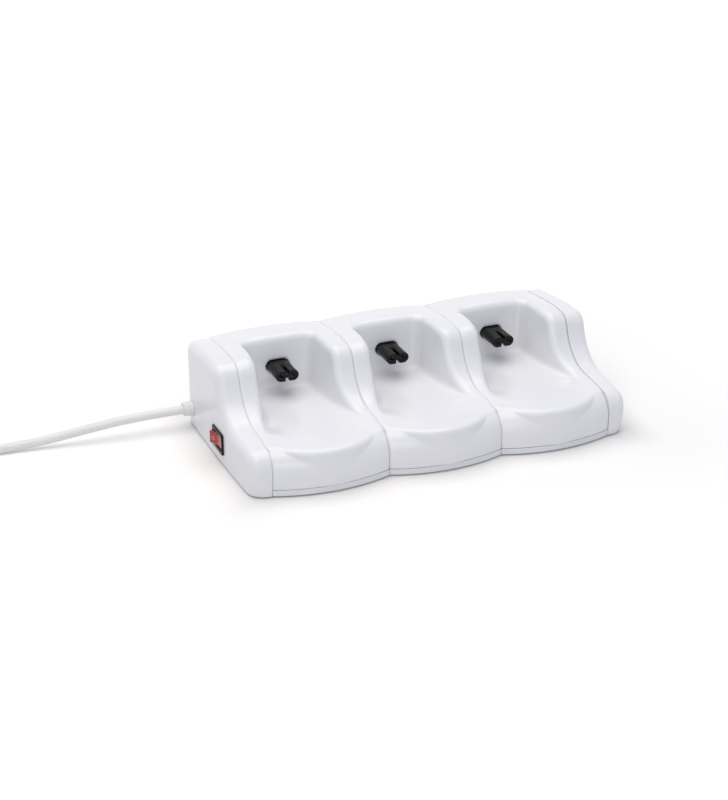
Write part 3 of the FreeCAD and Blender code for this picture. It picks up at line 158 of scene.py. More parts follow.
# the grains of moulded faces are drawn several times as coarse as real ones, so that they show
FINISHES = {
    # ABS moulded in a polished tool: cool white, a clear gloss, faint flow waves, soft edges
    "white_abs": dict(
        name="abs_gloss_white",
        patterns={"cloud": (40, 2.0), "grain": (0.9, 3.0), "flow": (26, 1.0, (1.0, 1.6, 1.0))},
        colour=("#EAEBED", "#F0F0F2", "cloud"), rough=(0.17, 0.23, 0.35, 0.65, "grain"),
        bump=(0.12, 0.25, "flow"), edge=(0.35, 6),
        values={"IOR": 1.54, "Subsurface Weight": 0.06, "Subsurface Radius": (1.0, 1.0, 1.0),
                "Subsurface Scale": 1.2 * MM}),
    # the base plates' ABS: the same resin from an etched tool, so duller
    "base_abs": dict(
        name="abs_etched_white", patterns={"cloud": (30, 2.0), "grain": (0.7, 3.0)},
        colour=("#E4E6EA", "#EBECEF", "cloud"), rough=(0.32, 0.45, 0.35, 0.65, "grain"),
        bump=(0.15, 0.05, "grain"), edge=(0.3, 4), values={"IOR": 1.54}),
    # moulded nylon of the connectors: near black, satin, with a fine spark-eroded grain
    "black_plastic": dict(
        name="nylon_satin_black", patterns={"wear": (3.5, 3.0), "grain": (0.35, 2.0)},
        colour=("#040405", "#0A0A0B", "wear"), rough=(0.2, 0.3, 0.3, 0.7, "wear"),
        bump=(0.35, 0.04, "grain"), values={"IOR": 1.53, "Specular IOR Level": 0.18}),
    # moulded ABS of the switch's bezel and body: black with a soft gloss
    "bezel_black": dict(
        name="abs_gloss_black", patterns={"grain": (0.5, 2.0)},
        colour=("#040405", "#0A0A0B", "grain"), rough=(0.26, 0.36, 0.3, 0.7, "grain"),
        bump=(0.2, 0.03, "grain"), values={"IOR": 1.54, "Specular IOR Level": 0.18}),
    # clear red polycarbonate of the rocker: a deep red body seen through a glossy face
    "red_translucent": dict(
        name="polycarbonate_clear_red", patterns={"cloud": (5, 2.0)},
        colour=("#B0060B", "#D60C12", "cloud"), rough=0.12, edge=(0.25, 4),
        values={"IOR": 1.58, "Transmission Weight": 0.35, "Subsurface Weight": 0.25,
                "Subsurface Radius": (1.0, 0.15, 0.1), "Subsurface Scale": 2.0 * MM}),
    # pad-printed marks: matt white ink so thin that the red shows through it
    "mark_ink": dict(
        name="ink_matt_white", patterns={"grain": (0.2, 2.0)},
        colour=("#C98E8C", "#DDB4B2", "grain"), rough=0.5, values={"IOR": 1.5}),
    # sheath of the lead, its relief and its plug, and the cores' insulation
    "pvc_white": pvc("pvc_satin_white", "#E2E2E1", "#EBEBEA"),
    "pvc_brown": pvc("pvc_satin_brown", "#4A2A18", "#5A341E"),
    "pvc_blue": pvc("pvc_satin_blue", "#1F4FA0", "#2860B8"),
    # contacts and pins: nickel on drawn brass, with lines along the draw
    "brass_nickel": metal(
        "brass_nickel_plated", "#C9C4B4", "#DAD6C8", 0.2, 0.34, (0.6, 3.0, (1, 0.15, 1))),
    # screws and nuts: bright zinc on rolled steel, slightly cloudy
    "steel_zinc": metal("steel_zinc_plated", "#B9BCC0", "#CDD0D4", 0.25, 0.42, (0.8, 3.0)),
    # moulded rubber feet: dull dark grey with a dusty grain
    "rubber_grey": dict(
        name="rubber_dull_grey", patterns={"grain": (0.8, 4.0)},
        colour=("#3A3B3D", "#4A4B4D", "grain"), rough=(0.62, 0.85, 0.3, 0.7, "grain"),
        bump=(0.4, 0.08, "grain"), values={"IOR": 1.52}),
    # thin blown glass of the lamp with a faint warm fill
    "lamp_glass": dict(
        name="glass_clear_warm", patterns={"streak": (2.5, 2.0)},
        colour=("#FFE3CC", "#FFF1E4", "streak"), rough=(0.02, 0.08, 0.0, 1.0, "streak"),
        values={"IOR": 1.5, "Transmission Weight": 0.9}),
}
MADE = {}                   # the finishes made so far


def finish_of(key):
    """The material of a key, made once."""
    if key not in MADE:
        MADE[key] = make_finish(**FINISHES[key])
    return MADE[key]


# -------- surfaces

MERGE_PIECE = 2e-6          # in metres, as are the points of a mesh
MERGE_SOLID = 1e-6          # for a copy of the model's own mesh
SHARP_EDGE = 32.0           # in degrees


def add_object(name, data):
    """An object of the given data, linked to the scene."""
    obj = bpy.data.objects.new(name, data)
    bpy.context.scene.collection.objects.link(obj)
    return obj


def piece(name, blocks, key, body):
    """A mesh object from (points, faces) blocks in millimetres: doubles merged, faces turned
    outward, edges over the sharp angle kept crisp; it rides on the body."""
    mesh = bpy.data.meshes.new(name)
    vertices, faces, count = [], [], 0
    for points, polygons in blocks:
        vertices.append(points)
        faces += [[i + count for i in polygon] for polygon in polygons]
        count += len(points)
    mesh.from_pydata(np.concatenate(vertices) * MM, [], faces)
    work = bmesh.new()
    work.from_mesh(mesh)
    bmesh.ops.remove_doubles(work, verts=work.verts, dist=MERGE_PIECE)
    bmesh.ops.recalc_face_normals(work, faces=work.faces)
    work.to_mesh(mesh)
    work.free()
    mesh.polygons.foreach_set("use_smooth", np.ones(len(mesh.polygons), bool))
    mesh.set_sharp_from_angle(angle=math.radians(SHARP_EDGE))
    mesh.validate()
    mesh.materials.append(finish_of(key))
    obj = add_object(name, mesh)
    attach(obj, body)
    return obj


def quads(rows, columns):
    """Faces of a rows by columns grid of points whose last column joins the first."""
    i = np.arange(rows - 1)[:, None]
    j = np.arange(columns)[None, :]
    after = (j + 1) % columns
    here, below = i * columns, (i + 1) * columns
    return np.stack([here + j, here + after, below + after, below + j], -1).reshape(-1, 4).tolist()


def stack(loops, close_start=True, close_end=True):
    """Block from closed loops (k, n, 3) joined in order; an end is closed by one polygon."""
    loops = np.asarray(loops, float)
    rows, columns = loops.shape[:2]
    faces = quads(rows, columns)
    if close_start:
        faces.append(list(range(columns))[::-1])
    if close_end:
        faces.append([(rows - 1) * columns + j for j in range(columns)])
    return loops.reshape(-1, 3), faces


def revolve(profile, origin, axis, turns, closed=False):
    """Surface of revolution: point(s, a) = origin + p0(s) along the axis + p1(s) across it at
    angle a. A closed profile is a ring in section."""
    profile = np.asarray(profile, float)
    if closed:
        profile = np.vstack([profile, profile[:1]])
    axis = np.asarray(axis, float)
    side = np.cross(axis, [0.0, 0.0, 1.0] if abs(axis[2]) < 0.9 else [1.0, 0.0, 0.0])
    side /= np.linalg.norm(side)
    other = np.cross(axis, side)
    angle = np.linspace(0, 2 * np.pi, turns, endpoint=False)
    ring = np.cos(angle)[:, None] * side + np.sin(angle)[:, None] * other
    points = profile[:, None, :1] * axis + profile[:, None, 1:] * ring[None]
    return stack(np.asarray(origin, float) + points, not closed, not closed)


def arc(start, end, centre, radius, count):
    """Points of an arc from one angle to another, in degrees: centre + radius (cos a, sin a)."""
    a = np.radians(np.linspace(start, end, count))
    return np.stack([centre[0] + radius * np.cos(a), centre[1] + radius * np.sin(a)], -1)


def rounded_rectangle(half_a, half_b, corner, count=10):
    """Closed loop of a rectangle with round corners: four quarter arcs about the corner centres."""
    corner = min(corner, half_a - 1e-3, half_b - 1e-3)
    centres = [(half_a - corner, half_b - corner), (corner - half_a, half_b - corner),
               (corner - half_a, corner - half_b), (half_a - corner, corner - half_b)]
    corners = [arc(90 * i, 90 * i + 90, c, corner, count) for i, c in enumerate(centres)]
    return np.concatenate(corners)


def smoothstep(low, high, x):
    """0 at low and 1 at high, with level ends: 3 t^2 - 2 t^3. Low may be the larger."""
    t = np.clip((x - low) / (high - low), 0, 1)
    return t * t * (3 - 2 * t)


def edge_inset(t, radius):
    """How far a rounded edge lies inside its outline, t below the face:
    r - sqrt(r^2 - (r - t)^2)."""
    rest = np.clip(radius - t, 0, radius)
    return radius - math.sqrt(max(radius * radius - rest * rest, 0.0))


def inward(loop):
    """Unit normals of a closed flat loop (n, 2), towards its inside."""
    along = np.roll(loop, -1, 0) - np.roll(loop, 1, 0)
    along /= np.linalg.norm(along, axis=1, keepdims=True)
    normal = np.stack([-along[:, 1], along[:, 0]], -1)
    middle = loop.mean(0)
    flip = np.sign(((middle - loop) * normal).sum(1).mean())
    return normal * flip


# -------- bay housings

CELL_SIZE = 0.9             # cells of the remeshed skin
HALF_BAY = 40.35
FRONT_BOW = 7.5             # how far the foot of a bay bows forward in its middle
PARTING_HEIGHT = 5.0        # top of the base plate
NOSE_HEIGHT = 29.3          # where the front's line meets the shelf's, before the rounding
NOSE_LEAN = 0.9
SHELF_DEPTH = 56.5          # a point high on the shelf
SHELF_HEIGHT = 35.0
SOLID_SEAM_NOSE = 12.0      # rounding of the solid's nose at a seam
SOLID_NOSE = 24.0           # and in the middle of a bay
MOULDED_SEAM_NOSE = 17.0    # the same two of the moulding
MOULDED_NOSE = 15.0
BOWL_RADIUS = 45.3
BOWL_DEPTH = 37.0           # depth of the bowl's axis
CREASE = 0.12               # width of the crease between bowl and nose
SEAM_CLOSE = 0.14           # how far a skin's sides move out, to a fine seam
FRONT_LIMIT = -HALF_DEPTH - FRONT_BOW - NOSE_LEAN + 0.12    # just inside the solid's front
# each pair runs from the value where a change is nil to the one where it is whole
NOSE_FROM_REAR = (26.0, 20.0)
NOSE_FROM_TOP = (31.0, 28.5)
NOSE_FROM_FOOT = (5.0, 7.0)
CORNER_FROM_MIDDLE = (18.0, 37.0)
CORNER_FROM_REAR = (44.0, 24.0)
CORNER_FROM_FRONT = (9.0, 19.0)
CORNER_FROM_BELOW = (24.0, 28.0)
CORNER_FACING_UP = (0.1, 0.6)
SIDE_FROM_MIDDLE = (38.0, HALF_BAY)


def nose_front(x, z, seam_radius, middle_radius):
    """Depth of the front of a bay at x and height z. Its foot bows forward by a parabola in x, a
    line leans out from there to the nose, another rises to the shelf, and a round between both
    runs from the seam's radius to the middle's: depth = centre - sqrt(r^2 - (z - centre)^2)."""
    bow = 1 - np.clip(np.abs(x) / (BAY_PITCH / 2), 0, 1) ** 2
    radius = seam_radius + (middle_radius - seam_radius) * bow
    corner = np.stack([-FRONT_BOW * bow - NOSE_LEAN, np.full_like(x, NOSE_HEIGHT)], -1)
    down = np.array([NOSE_LEAN, PARTING_HEIGHT - NOSE_HEIGHT])
    down = down / np.linalg.norm(down)
    back = np.array([SHELF_DEPTH, SHELF_HEIGHT]) - corner
    back /= np.linalg.norm(back, axis=-1, keepdims=True)
    half = np.arccos(back @ down) / 2
    middle = back + down
    middle /= np.linalg.norm(middle, axis=-1, keepdims=True)
    centre = corner + middle * (radius / np.sin(half))[..., None]
    start = corner + down * (radius / np.tan(half))[..., None]
    rise = np.clip(z - centre[..., 1], -radius, radius)
    rounded = centre[..., 0] - np.sqrt(radius ** 2 - rise ** 2)
    lean = NOSE_LEAN * (NOSE_HEIGHT - z) / (NOSE_HEIGHT - PARTING_HEIGHT)
    return np.where(z < start[..., 1], corner[..., 0] + lean, rounded)


def soft_least(a, b, width):
    """The smaller of two values, rounded over where they meet:
    mean - sqrt(difference^2 + width^2) / 2."""
    return (a + b - np.sqrt((a - b) ** 2 + width ** 2)) / 2


def moulded_places(points, normals):
    """Points of a bay's solid moved to the moulding, in millimetres. The front goes from the
    solid's nose to the moulding's, as far as either stands proud of the round bowl wall. The
    pad's corners rise to the line of the shelf, and the sides close up to a fine seam."""
    x, depth, z = points[:, 0], points[:, 1] + HALF_DEPTH, points[:, 2]
    bowl = BOWL_DEPTH - np.sqrt(BOWL_RADIUS ** 2 - np.clip(x, -HALF_BAY, HALF_BAY) ** 2)
    solid = np.minimum(nose_front(x, z, SOLID_SEAM_NOSE, SOLID_NOSE), bowl)
    moulded = soft_least(nose_front(x, z, MOULDED_SEAM_NOSE, MOULDED_NOSE), bowl, CREASE)
    nose = smoothstep(*NOSE_FROM_REAR, depth) * smoothstep(*NOSE_FROM_TOP, z)
    nose = nose * smoothstep(*NOSE_FROM_FOOT, z)
    slope = (SHELF_HEIGHT - NOSE_HEIGHT) / (SHELF_DEPTH + NOSE_LEAN)
    shelf = NOSE_HEIGHT + slope * (depth + NOSE_LEAN)
    corner = smoothstep(*CORNER_FROM_MIDDLE, np.abs(x)) * smoothstep(*CORNER_FROM_REAR, depth)
    corner = corner * smoothstep(*CORNER_FROM_FRONT, depth) * smoothstep(*CORNER_FROM_BELOW, z)
    corner = corner * smoothstep(*CORNER_FACING_UP, normals[:, 2])
    side = SEAM_CLOSE * np.sign(x) * smoothstep(*SIDE_FROM_MIDDLE, np.abs(x))
    move = np.stack([side, (moulded - solid) * nose, np.clip(shelf - z, 0, None) * corner], -1)
    moved = points + move
    moved[:, 1] = np.clip(moved[:, 1], FRONT_LIMIT, HALF_DEPTH)
    return moved


def even_skin(source):
    """A solid's mesh as one closed skin: merged, remeshed in even cells and smoothed."""
    work = bmesh.new()
    work.from_mesh(source)
    bmesh.ops.remove_doubles(work, verts=work.verts, dist=MERGE_SOLID)
    merged = bpy.data.meshes.new("merged_bay")
    work.to_mesh(merged)
    work.free()
    holder = add_object("merged_bay", merged)
    remesh = holder.modifiers.new("even_cells", "REMESH")
    remesh.mode = "VOXEL"
    remesh.voxel_size = CELL_SIZE * MM
    smooth = holder.modifiers.new("smooth", "SMOOTH")
    smooth.factor = 0.5
    smooth.iterations = 2
    graph = bpy.context.evaluated_depsgraph_get()
    mesh = bpy.data.meshes.new_from_object(holder.evaluated_get(graph))
    bpy.data.objects.remove(holder)
    bpy.data.meshes.remove(merged)
    return mesh


def housing_mesh(source):
    """The moulded skin of the middle bay: an even skin of its solid, with its points moved."""
    mesh = even_skin(source)
    points, normals = np.empty((2, 3 * len(mesh.vertices)))
    mesh.vertices.foreach_get("co", points)
    mesh.vertex_normals.foreach_get("vector", normals)
    moved = moulded_places(points.reshape(-1, 3) / MM, normals.reshape(-1, 3))
    mesh.vertices.foreach_set("co", (moved * MM).ravel())
    mesh.polygons.foreach_set("use_smooth", np.ones(len(mesh.polygons), bool))
    mesh.update()
    return mesh


# -------- connector

PIN_SPACING = 8.6
LOBE = 3.85                 # radius of a lobe
CONNECTOR_Z = 44.8
CONNECTOR_FRONT = 82.5 - HALF_DEPTH
SEAT_Y = 106.0 - HALF_DEPTH  # where the flange lies against the back wall
FLANGE_BACK = SEAT_Y + 2.5
BOSS_BACK = SEAT_Y + 7.0
FLANGE = (10.3, 6.0, 1.0)   # half width, half height and corner
BOSS = (6.3, 3.2, 0.6)
FACE_ROUND = 0.5
SLOT_HALF = 1.15            # half width of the slot between the lobes
SLOT_FOOT = 0.35            # rounding at its bottom
SLOT_MOUTH = 0.9            # and at its mouth
SLOT_FADE = (11.0, 12.5)    # how far behind the face it begins to run out, and ends
WEB_HALF = 1.3              # half height of the web between both slots
HOLE_EDGE = 1.85            # radius of a contact hole's edge on the face
HOLE_MOUTH = [(1.7, 0.05), (1.5, 0.3), (1.4, 0.7), (1.3, 1.0)]  # radius and depth
HOLE_SHARE = 0.58           # a hole's depth over the body's


def eight_loop(notch, inset):
    """Outline of the connector, from its bottom middle round the right lobe, the top and the left
    lobe: a flat pill whose middle sinks into a slot. Point = (1 - notch) * pill
    + notch * slotted pill + inset * inward normal."""
    mouth_end = SLOT_HALF + SLOT_MOUTH
    foot = arc(90, 0, (SLOT_HALF - SLOT_FOOT, -WEB_HALF - SLOT_FOOT), SLOT_FOOT, 5)
    mouth = arc(180, 270, (mouth_end, SLOT_MOUTH - LOBE), SLOT_MOUTH, 8)
    slot = np.concatenate([[[0, -WEB_HALF]], [[0.4, -WEB_HALF]], foot, mouth])
    flat = np.stack([np.linspace(0, mouth_end, len(slot)), np.full(len(slot), -LOBE)], -1)
    bottom = (1 - notch) * flat + notch * slot
    beside = np.linspace(mouth_end, PIN_SPACING / 2, 5)[1:-1]
    rest = np.stack([beside, np.full(len(beside), -LOBE)], -1)
    lobe = arc(-90, 90, (PIN_SPACING / 2, 0), LOBE, 30)
    right = np.concatenate([bottom, rest, lobe, rest[::-1] * [1, -1], bottom[::-1] * [1, -1]])
    left = right[::-1] * [-1, 1]
    loop = np.concatenate([right, left[1:-1]])
    return loop + inset * inward(loop)


def lobe_face(loop, side, depth):
    """Front face of one lobe: rings from the half outline and the middle line to the contact
    hole, then down the hole: ring(k) = (1 - k) * outline + k * circle at the same bearing."""
    half_count = len(loop) // 2
    half = loop[:half_count + 1] if side > 0 else np.concatenate([loop[half_count:], loop[:1]])
    rim = np.concatenate([half, np.linspace(half[-1], half[0], 8)[1:-1]])
    centre = np.array([side * PIN_SPACING / 2, 0.0])
    bearing = np.arctan2(rim[:, 1], rim[:, 0] - centre[0])
    circle = np.stack([np.cos(bearing), np.sin(bearing)], -1)
    edge = centre + circle * HOLE_EDGE
    rings = [(rim * (1 - k) + edge * k, 0.0) for k in (0.0, 0.4, 0.8, 1.0)]
    rings += [(centre + circle * radius, d) for radius, d in HOLE_MOUTH]
    return [*rings, (centre + circle * HOLE_MOUTH[-1][0], depth)]


def connector_block(bay):
    """One figure-eight connector with its flange and rear boss, as one closed surface. A loop of
    the flange has the outline's bearings, and the reach of a rounded rectangle at each."""
    x0 = bay * BAY_PITCH
    last = eight_loop(0.0, 0.0)
    bearing = np.arctan2(last[:, 1], last[:, 0])

    def at(loop, y):
        return np.stack([x0 + loop[:, 0], np.full(len(loop), y), CONNECTOR_Z + loop[:, 1]], -1)

    def boxed(half_a, half_b, corner, y):
        shape = rounded_rectangle(half_a, half_b, corner, 12)
        angles = np.arctan2(shape[:, 1], shape[:, 0]) % (2 * np.pi)
        order = np.argsort(angles)
        reach = np.hypot(shape[order, 0], shape[order, 1])
        r = np.interp(bearing % (2 * np.pi), angles[order], reach, period=2 * np.pi)
        return at(np.stack([r * np.cos(bearing), r * np.sin(bearing)], -1), y)

    stations = [(t, 1.0, edge_inset(t, FACE_ROUND)) for t in (0.0, 0.06, 0.16, 0.32, FACE_ROUND)]
    behind = (4.0, 8.0, 11.0, 11.4, 11.8, 12.2, 12.5, 18.0)
    stations += [(t, 1 - smoothstep(*SLOT_FADE, t), 0.0) for t in behind]
    loops = [at(eight_loop(notch, inset), CONNECTOR_FRONT + t) for t, notch, inset in stations]
    loops.append(at(last, SEAT_Y))
    loops += [boxed(*FLANGE, y) for y in (SEAT_Y, FLANGE_BACK)]
    loops += [boxed(*BOSS, y) for y in (FLANGE_BACK, BOSS_BACK)]
    blocks = [stack(loops, close_start=False)]
    front = eight_loop(1.0, edge_inset(0.0, FACE_ROUND))
    for side in (1, -1):
        rings = lobe_face(front, side, HOLE_SHARE * (SEAT_Y - CONNECTOR_FRONT))
        face = [at(ring, CONNECTOR_FRONT + d) for ring, d in rings]
        blocks.append(stack(face, close_start=False))
    return blocks


# -------- switch

PIVOT = (-136.1, 63.45 - HALF_DEPTH, 15.8)
ROCKER_RADIUS = 8.8
ROCKER_HALF = 4.5           # half width
ROCKER_CORNER = 22.0        # bearing of the ends' upper corners, in degrees
ROCKER_SKIRT = -20.0        # and of their lower ones
ROCKER_TILT = 12.0
ROCKER_ROUND = 0.8
TRUNNION_RADIUS = 1.2
TRUNNION_REACH = 0.9
MARK_ALONG = 4.6            # how far a mark lies from the rocker's middle
RING_RADIUS = 1.3
RING_LINE = 0.2             # half width of its line
BAR_LINE = 0.24
MARK_RISE = 0.07
BEZEL_FACE = -138.2
BEZEL_SEAT = -136.7
# half length, half height, corner and place of the bezel's loops: up the wall of its well, over
# the rounded lip, down its outside and back along the switch's body
BEZEL_ROWS = [
    (9.1, 4.8, 0.3, BEZEL_SEAT + 13.0),
    (9.1, 4.8, 0.3, BEZEL_FACE + 0.5),
    (9.2, 4.9, 0.4, BEZEL_FACE + 0.15),
    (9.4, 5.1, 0.5, BEZEL_FACE),
    (10.15, 7.05, 1.15, BEZEL_FACE),
    (10.4, 7.3, 1.4, BEZEL_FACE + 0.12),
    (10.57, 7.47, 1.57, BEZEL_FACE + 0.4),
    (10.6, 7.5, 1.6, BEZEL_FACE + 0.7),
    (10.6, 7.5, 1.6, BEZEL_SEAT),
    (9.7, 6.4, 0.4, BEZEL_SEAT),
    (9.7, 6.4, 0.4, BEZEL_SEAT + 15.0),
]


def face_dip():
    """How far the middle of the rocker's V lies from its pivot, and the slope of its halves:
    dip = r sin(corner) - r cos(corner) * slope."""
    corner = math.radians(ROCKER_CORNER)
    slope = math.tan(math.radians(ROCKER_TILT))
    return ROCKER_RADIUS * (math.sin(corner) - math.cos(corner) * slope), slope


def rocker_profile(count=160):
    """Closed section of the rocker about its pivot, as (out, along): V top, round ends, flat
    skirt, resampled by arc length and smoothed so that its corners are round."""
    ends = arc(ROCKER_CORNER, ROCKER_SKIRT, (0, 0), ROCKER_RADIUS, 16)
    back = np.stack([ends[:, 1], ends[:, 0]], -1)
    front = back[::-1] * [1, -1]
    outline = np.concatenate([[[face_dip()[0], 0.0]], back, front])
    closed = np.vstack([outline, outline[:1]])
    length = np.concatenate([[0], np.cumsum(np.linalg.norm(np.diff(closed, axis=0), axis=1))])
    s = np.linspace(0, length[-1], count, endpoint=False)
    loop = np.stack([np.interp(s, length, closed[:, i]) for i in (0, 1)], -1)
    for _ in range(3):
        loop = (np.roll(loop, 1, 0) + loop + np.roll(loop, -1, 0)) / 3
    return loop


def tilt(points):
    """Points turned by the rocker's tilt about the upright line through its pivot."""
    a = math.radians(ROCKER_TILT)
    turn = np.array([[math.cos(a), -math.sin(a), 0], [math.sin(a), math.cos(a), 0], [0, 0, 1]])
    return (np.asarray(points) - PIVOT) @ turn.T + PIVOT


def rocker_block():
    """Rocker as loops across its width: trunnion, rounded edge, face, and back the same way."""
    profile = rocker_profile()
    normal = inward(profile)
    bearing = np.arctan2(profile[:, 1], profile[:, 0])
    pin = TRUNNION_RADIUS * np.stack([np.cos(bearing), np.sin(bearing)], -1)

    def at(loop, z):
        height = np.full(len(loop), PIVOT[2] + z)
        return np.stack([PIVOT[0] - loop[:, 0], PIVOT[1] + loop[:, 1], height], -1)

    steps = (0.0, 0.06, 0.2, 0.45, ROCKER_ROUND)
    edge = [(t, profile + normal * edge_inset(t, ROCKER_ROUND)) for t in steps]
    lower = [at(loop, t - ROCKER_HALF) for t, loop in edge]
    upper = [at(loop, ROCKER_HALF - t) for t, loop in edge[::-1]]
    pin_end = ROCKER_HALF + TRUNNION_REACH
    ends = [at(pin, z) for z in (-pin_end, -ROCKER_HALF, ROCKER_HALF, pin_end)]
    points, faces = stack(ends[:2] + lower + upper + ends[2:])
    return tilt(points), faces


def mark_blocks():
    """The two plain marks of an on-off rocker, as thin tubes on its sloping halves: a bar on the
    front one, a ring on the rear one."""
    dip, slope = face_dip()

    def on_face(along, up, rise):
        out = dip + np.abs(along) * slope + rise
        return np.stack([PIVOT[0] - out, PIVOT[1] + along, PIVOT[2] + up], -1)

    tube = arc(0, 360, (0, 0), 1.0, 13)[:-1]
    angle = np.linspace(0, 2 * np.pi, 40, endpoint=False)
    radius = RING_RADIUS + RING_LINE * tube[:, :1]
    rise = MARK_RISE * tube[:, 1:] * np.ones(len(angle))
    ring = on_face(MARK_ALONG + radius * np.cos(angle), radius * np.sin(angle), rise)
    ring = np.concatenate([ring, ring[:1]])
    bar = []
    for up, grow in ((-1.5, 0.3), (-1.4, 0.9), (1.4, 0.9), (1.5, 0.3)):
        along = -MARK_ALONG + BAR_LINE * grow * tube[:, 0]
        bar.append(on_face(along, np.full(len(tube), up), MARK_RISE * tube[:, 1]))
    blocks = [stack(ring, False, False), stack(bar)]
    return [(tilt(points), faces) for points, faces in blocks]


def bezel_block():
    """Bezel and switch body as one surface; each loop is a rounded rectangle."""
    loops = []
    for half_y, half_z, corner, x in BEZEL_ROWS:
        flat = rounded_rectangle(half_y, half_z, corner)
        place = [np.full(len(flat), x), PIVOT[1] + flat[:, 0], PIVOT[2] + flat[:, 1]]
        loops.append(np.stack(place, -1))
    return stack(loops)


# -------- lead, strain relief and plug

LEAD_RADIUS = 3.15
EXIT = (-CAP_OUTSIDE - 7.0, 122.0 - HALF_DEPTH, 14.0)
# from the exit, but heights from the table
LEAD_ROUTE = [(-34.0, 0.0, 14.0), (-66.0, 2.0, 10.2), (-96.0, 5.0, 5.2), (-128.0, 7.0, 3.3)]
COIL_MIDDLE = (-185.0, -32.0)   # from the exit
COIL_RADIUS = 35.0
COIL_TOP = 18.9             # height of the plug's underside
COIL_LEAVE = 1775.0         # degrees that the lead winds before it rises to its plug
COIL_GAP = 0.15             # air under the lowest turn
TURN_POINTS = 16            # control points in a turn
# from the coil's middle, over its outer turn
LEAD_RISE = [(4.5, 33.2, 20.6), (-4.5, 37.2, 23.0), (-13.0, 39.9, 24.6)]
BEND_STEP = 18.0            # degrees between the points of the bend behind the plug
RELIEF_CLEAR = 0.05         # air between the lead and the bore of its relief in the wall
RELIEF_BEND = 22.15         # radius of the bend in the plug's relief
RELIEF_LENGTH = 14.0
RELIEF_RADIUS = 4.45        # at the plug
RELIEF_TAPER = 0.05
RIB_HEIGHT = 0.42
RIB_SPACING = 2.8
RIB_EDGE = (-0.3, 0.5)      # where a rib stands up in its wave
RIB_FROM_PLUG = (0.8, 2.2)
RIB_FROM_TIP = (0.1, 1.2)
PLUG_HALF_HEIGHT = 6.85
PLUG_HALF_LENGTH = 18.0
PLUG_BACK = (5.4, 5.0)      # half width and half height of its rear end
PLUG_GROWTH = (7.6, 1.85)   # and what its body adds to them
PLUG_WIDENS = (-3.0, 15.0)  # from its rear end
PLUG_THICKENS = (-2.0, 9.0)
PLUG_CORNER = 3.6
PLUG_ROUNDS = (1.2, 1.5)    # rounding of its rear end and of its face
PIN_SIDE = 9.3              # from the plug's middle to a pin


def coil_points():
    """Control points of the coil. The turns lie two wide and three high. Each change to the next
    place is a smooth step over an eighth of a turn, and lies that much earlier in the round than
    the one before, so that no two touch. The radius is divided by the cosine of half a step, as
    a quadratic spline cuts its corners."""
    thick = 2 * LEAD_RADIUS
    places = [(0.5, 0), (-0.5, 0), (-0.5, 1), (0.5, 1), (0.5, 2), (-0.5, 2)]
    radii = [COIL_RADIUS + side * thick for side, _ in places]
    heights = [LEAD_RADIUS + level * thick for _, level in places]
    window = 2 * np.pi / 8
    angle = np.linspace(0, math.radians(COIL_LEAVE), int(COIL_LEAVE / 360 * TURN_POINTS))
    radius = np.full(len(angle), radii[0])
    height = np.full(len(angle), heights[0] + COIL_GAP)
    for k in range(1, len(places)):
        start = (2 * np.pi - window) * k
        step = smoothstep(start, start + window, angle)
        radius += step * (radii[k] - radii[k - 1])
        height += step * (heights[k] - heights[k - 1])
    bearing = np.pi / 2 + angle
    radius = radius / math.cos(angle[1] / 2)
    return np.stack([radius * np.cos(bearing), radius * np.sin(bearing), height], -1)


def coil_centre():
    """Middle of the coil on the table."""
    return np.array([EXIT[0] + COIL_MIDDLE[0], EXIT[1] + COIL_MIDDLE[1], 0.0])


def plug_centre():
    """Middle of the plug, which lies on the coil's left side."""
    return coil_centre() + [-COIL_RADIUS, 0.0, COIL_TOP + PLUG_HALF_HEIGHT]


def bend_into_plug(angle):
    """Middle of the bend behind the plug, and directions from it by the angle left to turn:
    (-cos a, sin a). Both lie at the height of the plug's middle."""
    middle = plug_centre() + [RELIEF_BEND, PLUG_HALF_LENGTH, 0.0]
    outward = np.stack([-np.cos(angle), np.sin(angle), np.zeros_like(angle)], -1)
    return middle, outward


def lead_points():
    """Route of the whole lead: out of its strain relief, down to the table, round the coil, over
    its outer turn and round a bend into the plug."""
    route = np.array([[EXIT[0] + x, EXIT[1] + y, z] for x, y, z in LEAD_ROUTE])
    middle, outward = bend_into_plug(np.radians(BEND_STEP * np.arange(4, 0, -1)))
    bend = middle + outward * RELIEF_BEND / math.cos(math.radians(BEND_STEP / 2))
    inside = plug_centre() + np.array([(0.0, 14.5, 0.0), (0.0, 8.0, 0.0)])
    coil = np.concatenate([coil_points(), LEAD_RISE]) + coil_centre()
    return np.concatenate([[EXIT], route, coil, bend, inside])


def nurbs_curve(name, points, radius, key):
    """A tube on a quadratic NURBS spline whose control points are the given ones; the radius is
    in metres."""
    curve = bpy.data.curves.new(name, "CURVE")
    curve.dimensions = "3D"
    curve.bevel_depth = radius
    curve.bevel_resolution = 6
    curve.resolution_u = 6
    curve.use_fill_caps = True
    spline = curve.splines.new("NURBS")
    spline.points.add(len(points) - 1)
    spline.points.foreach_set("co", np.column_stack([points * MM, np.ones(len(points))]).ravel())
    spline.order_u = 3
    spline.use_endpoint_u = True
    curve.materials.append(finish_of(key))
    return add_object(name, curve)


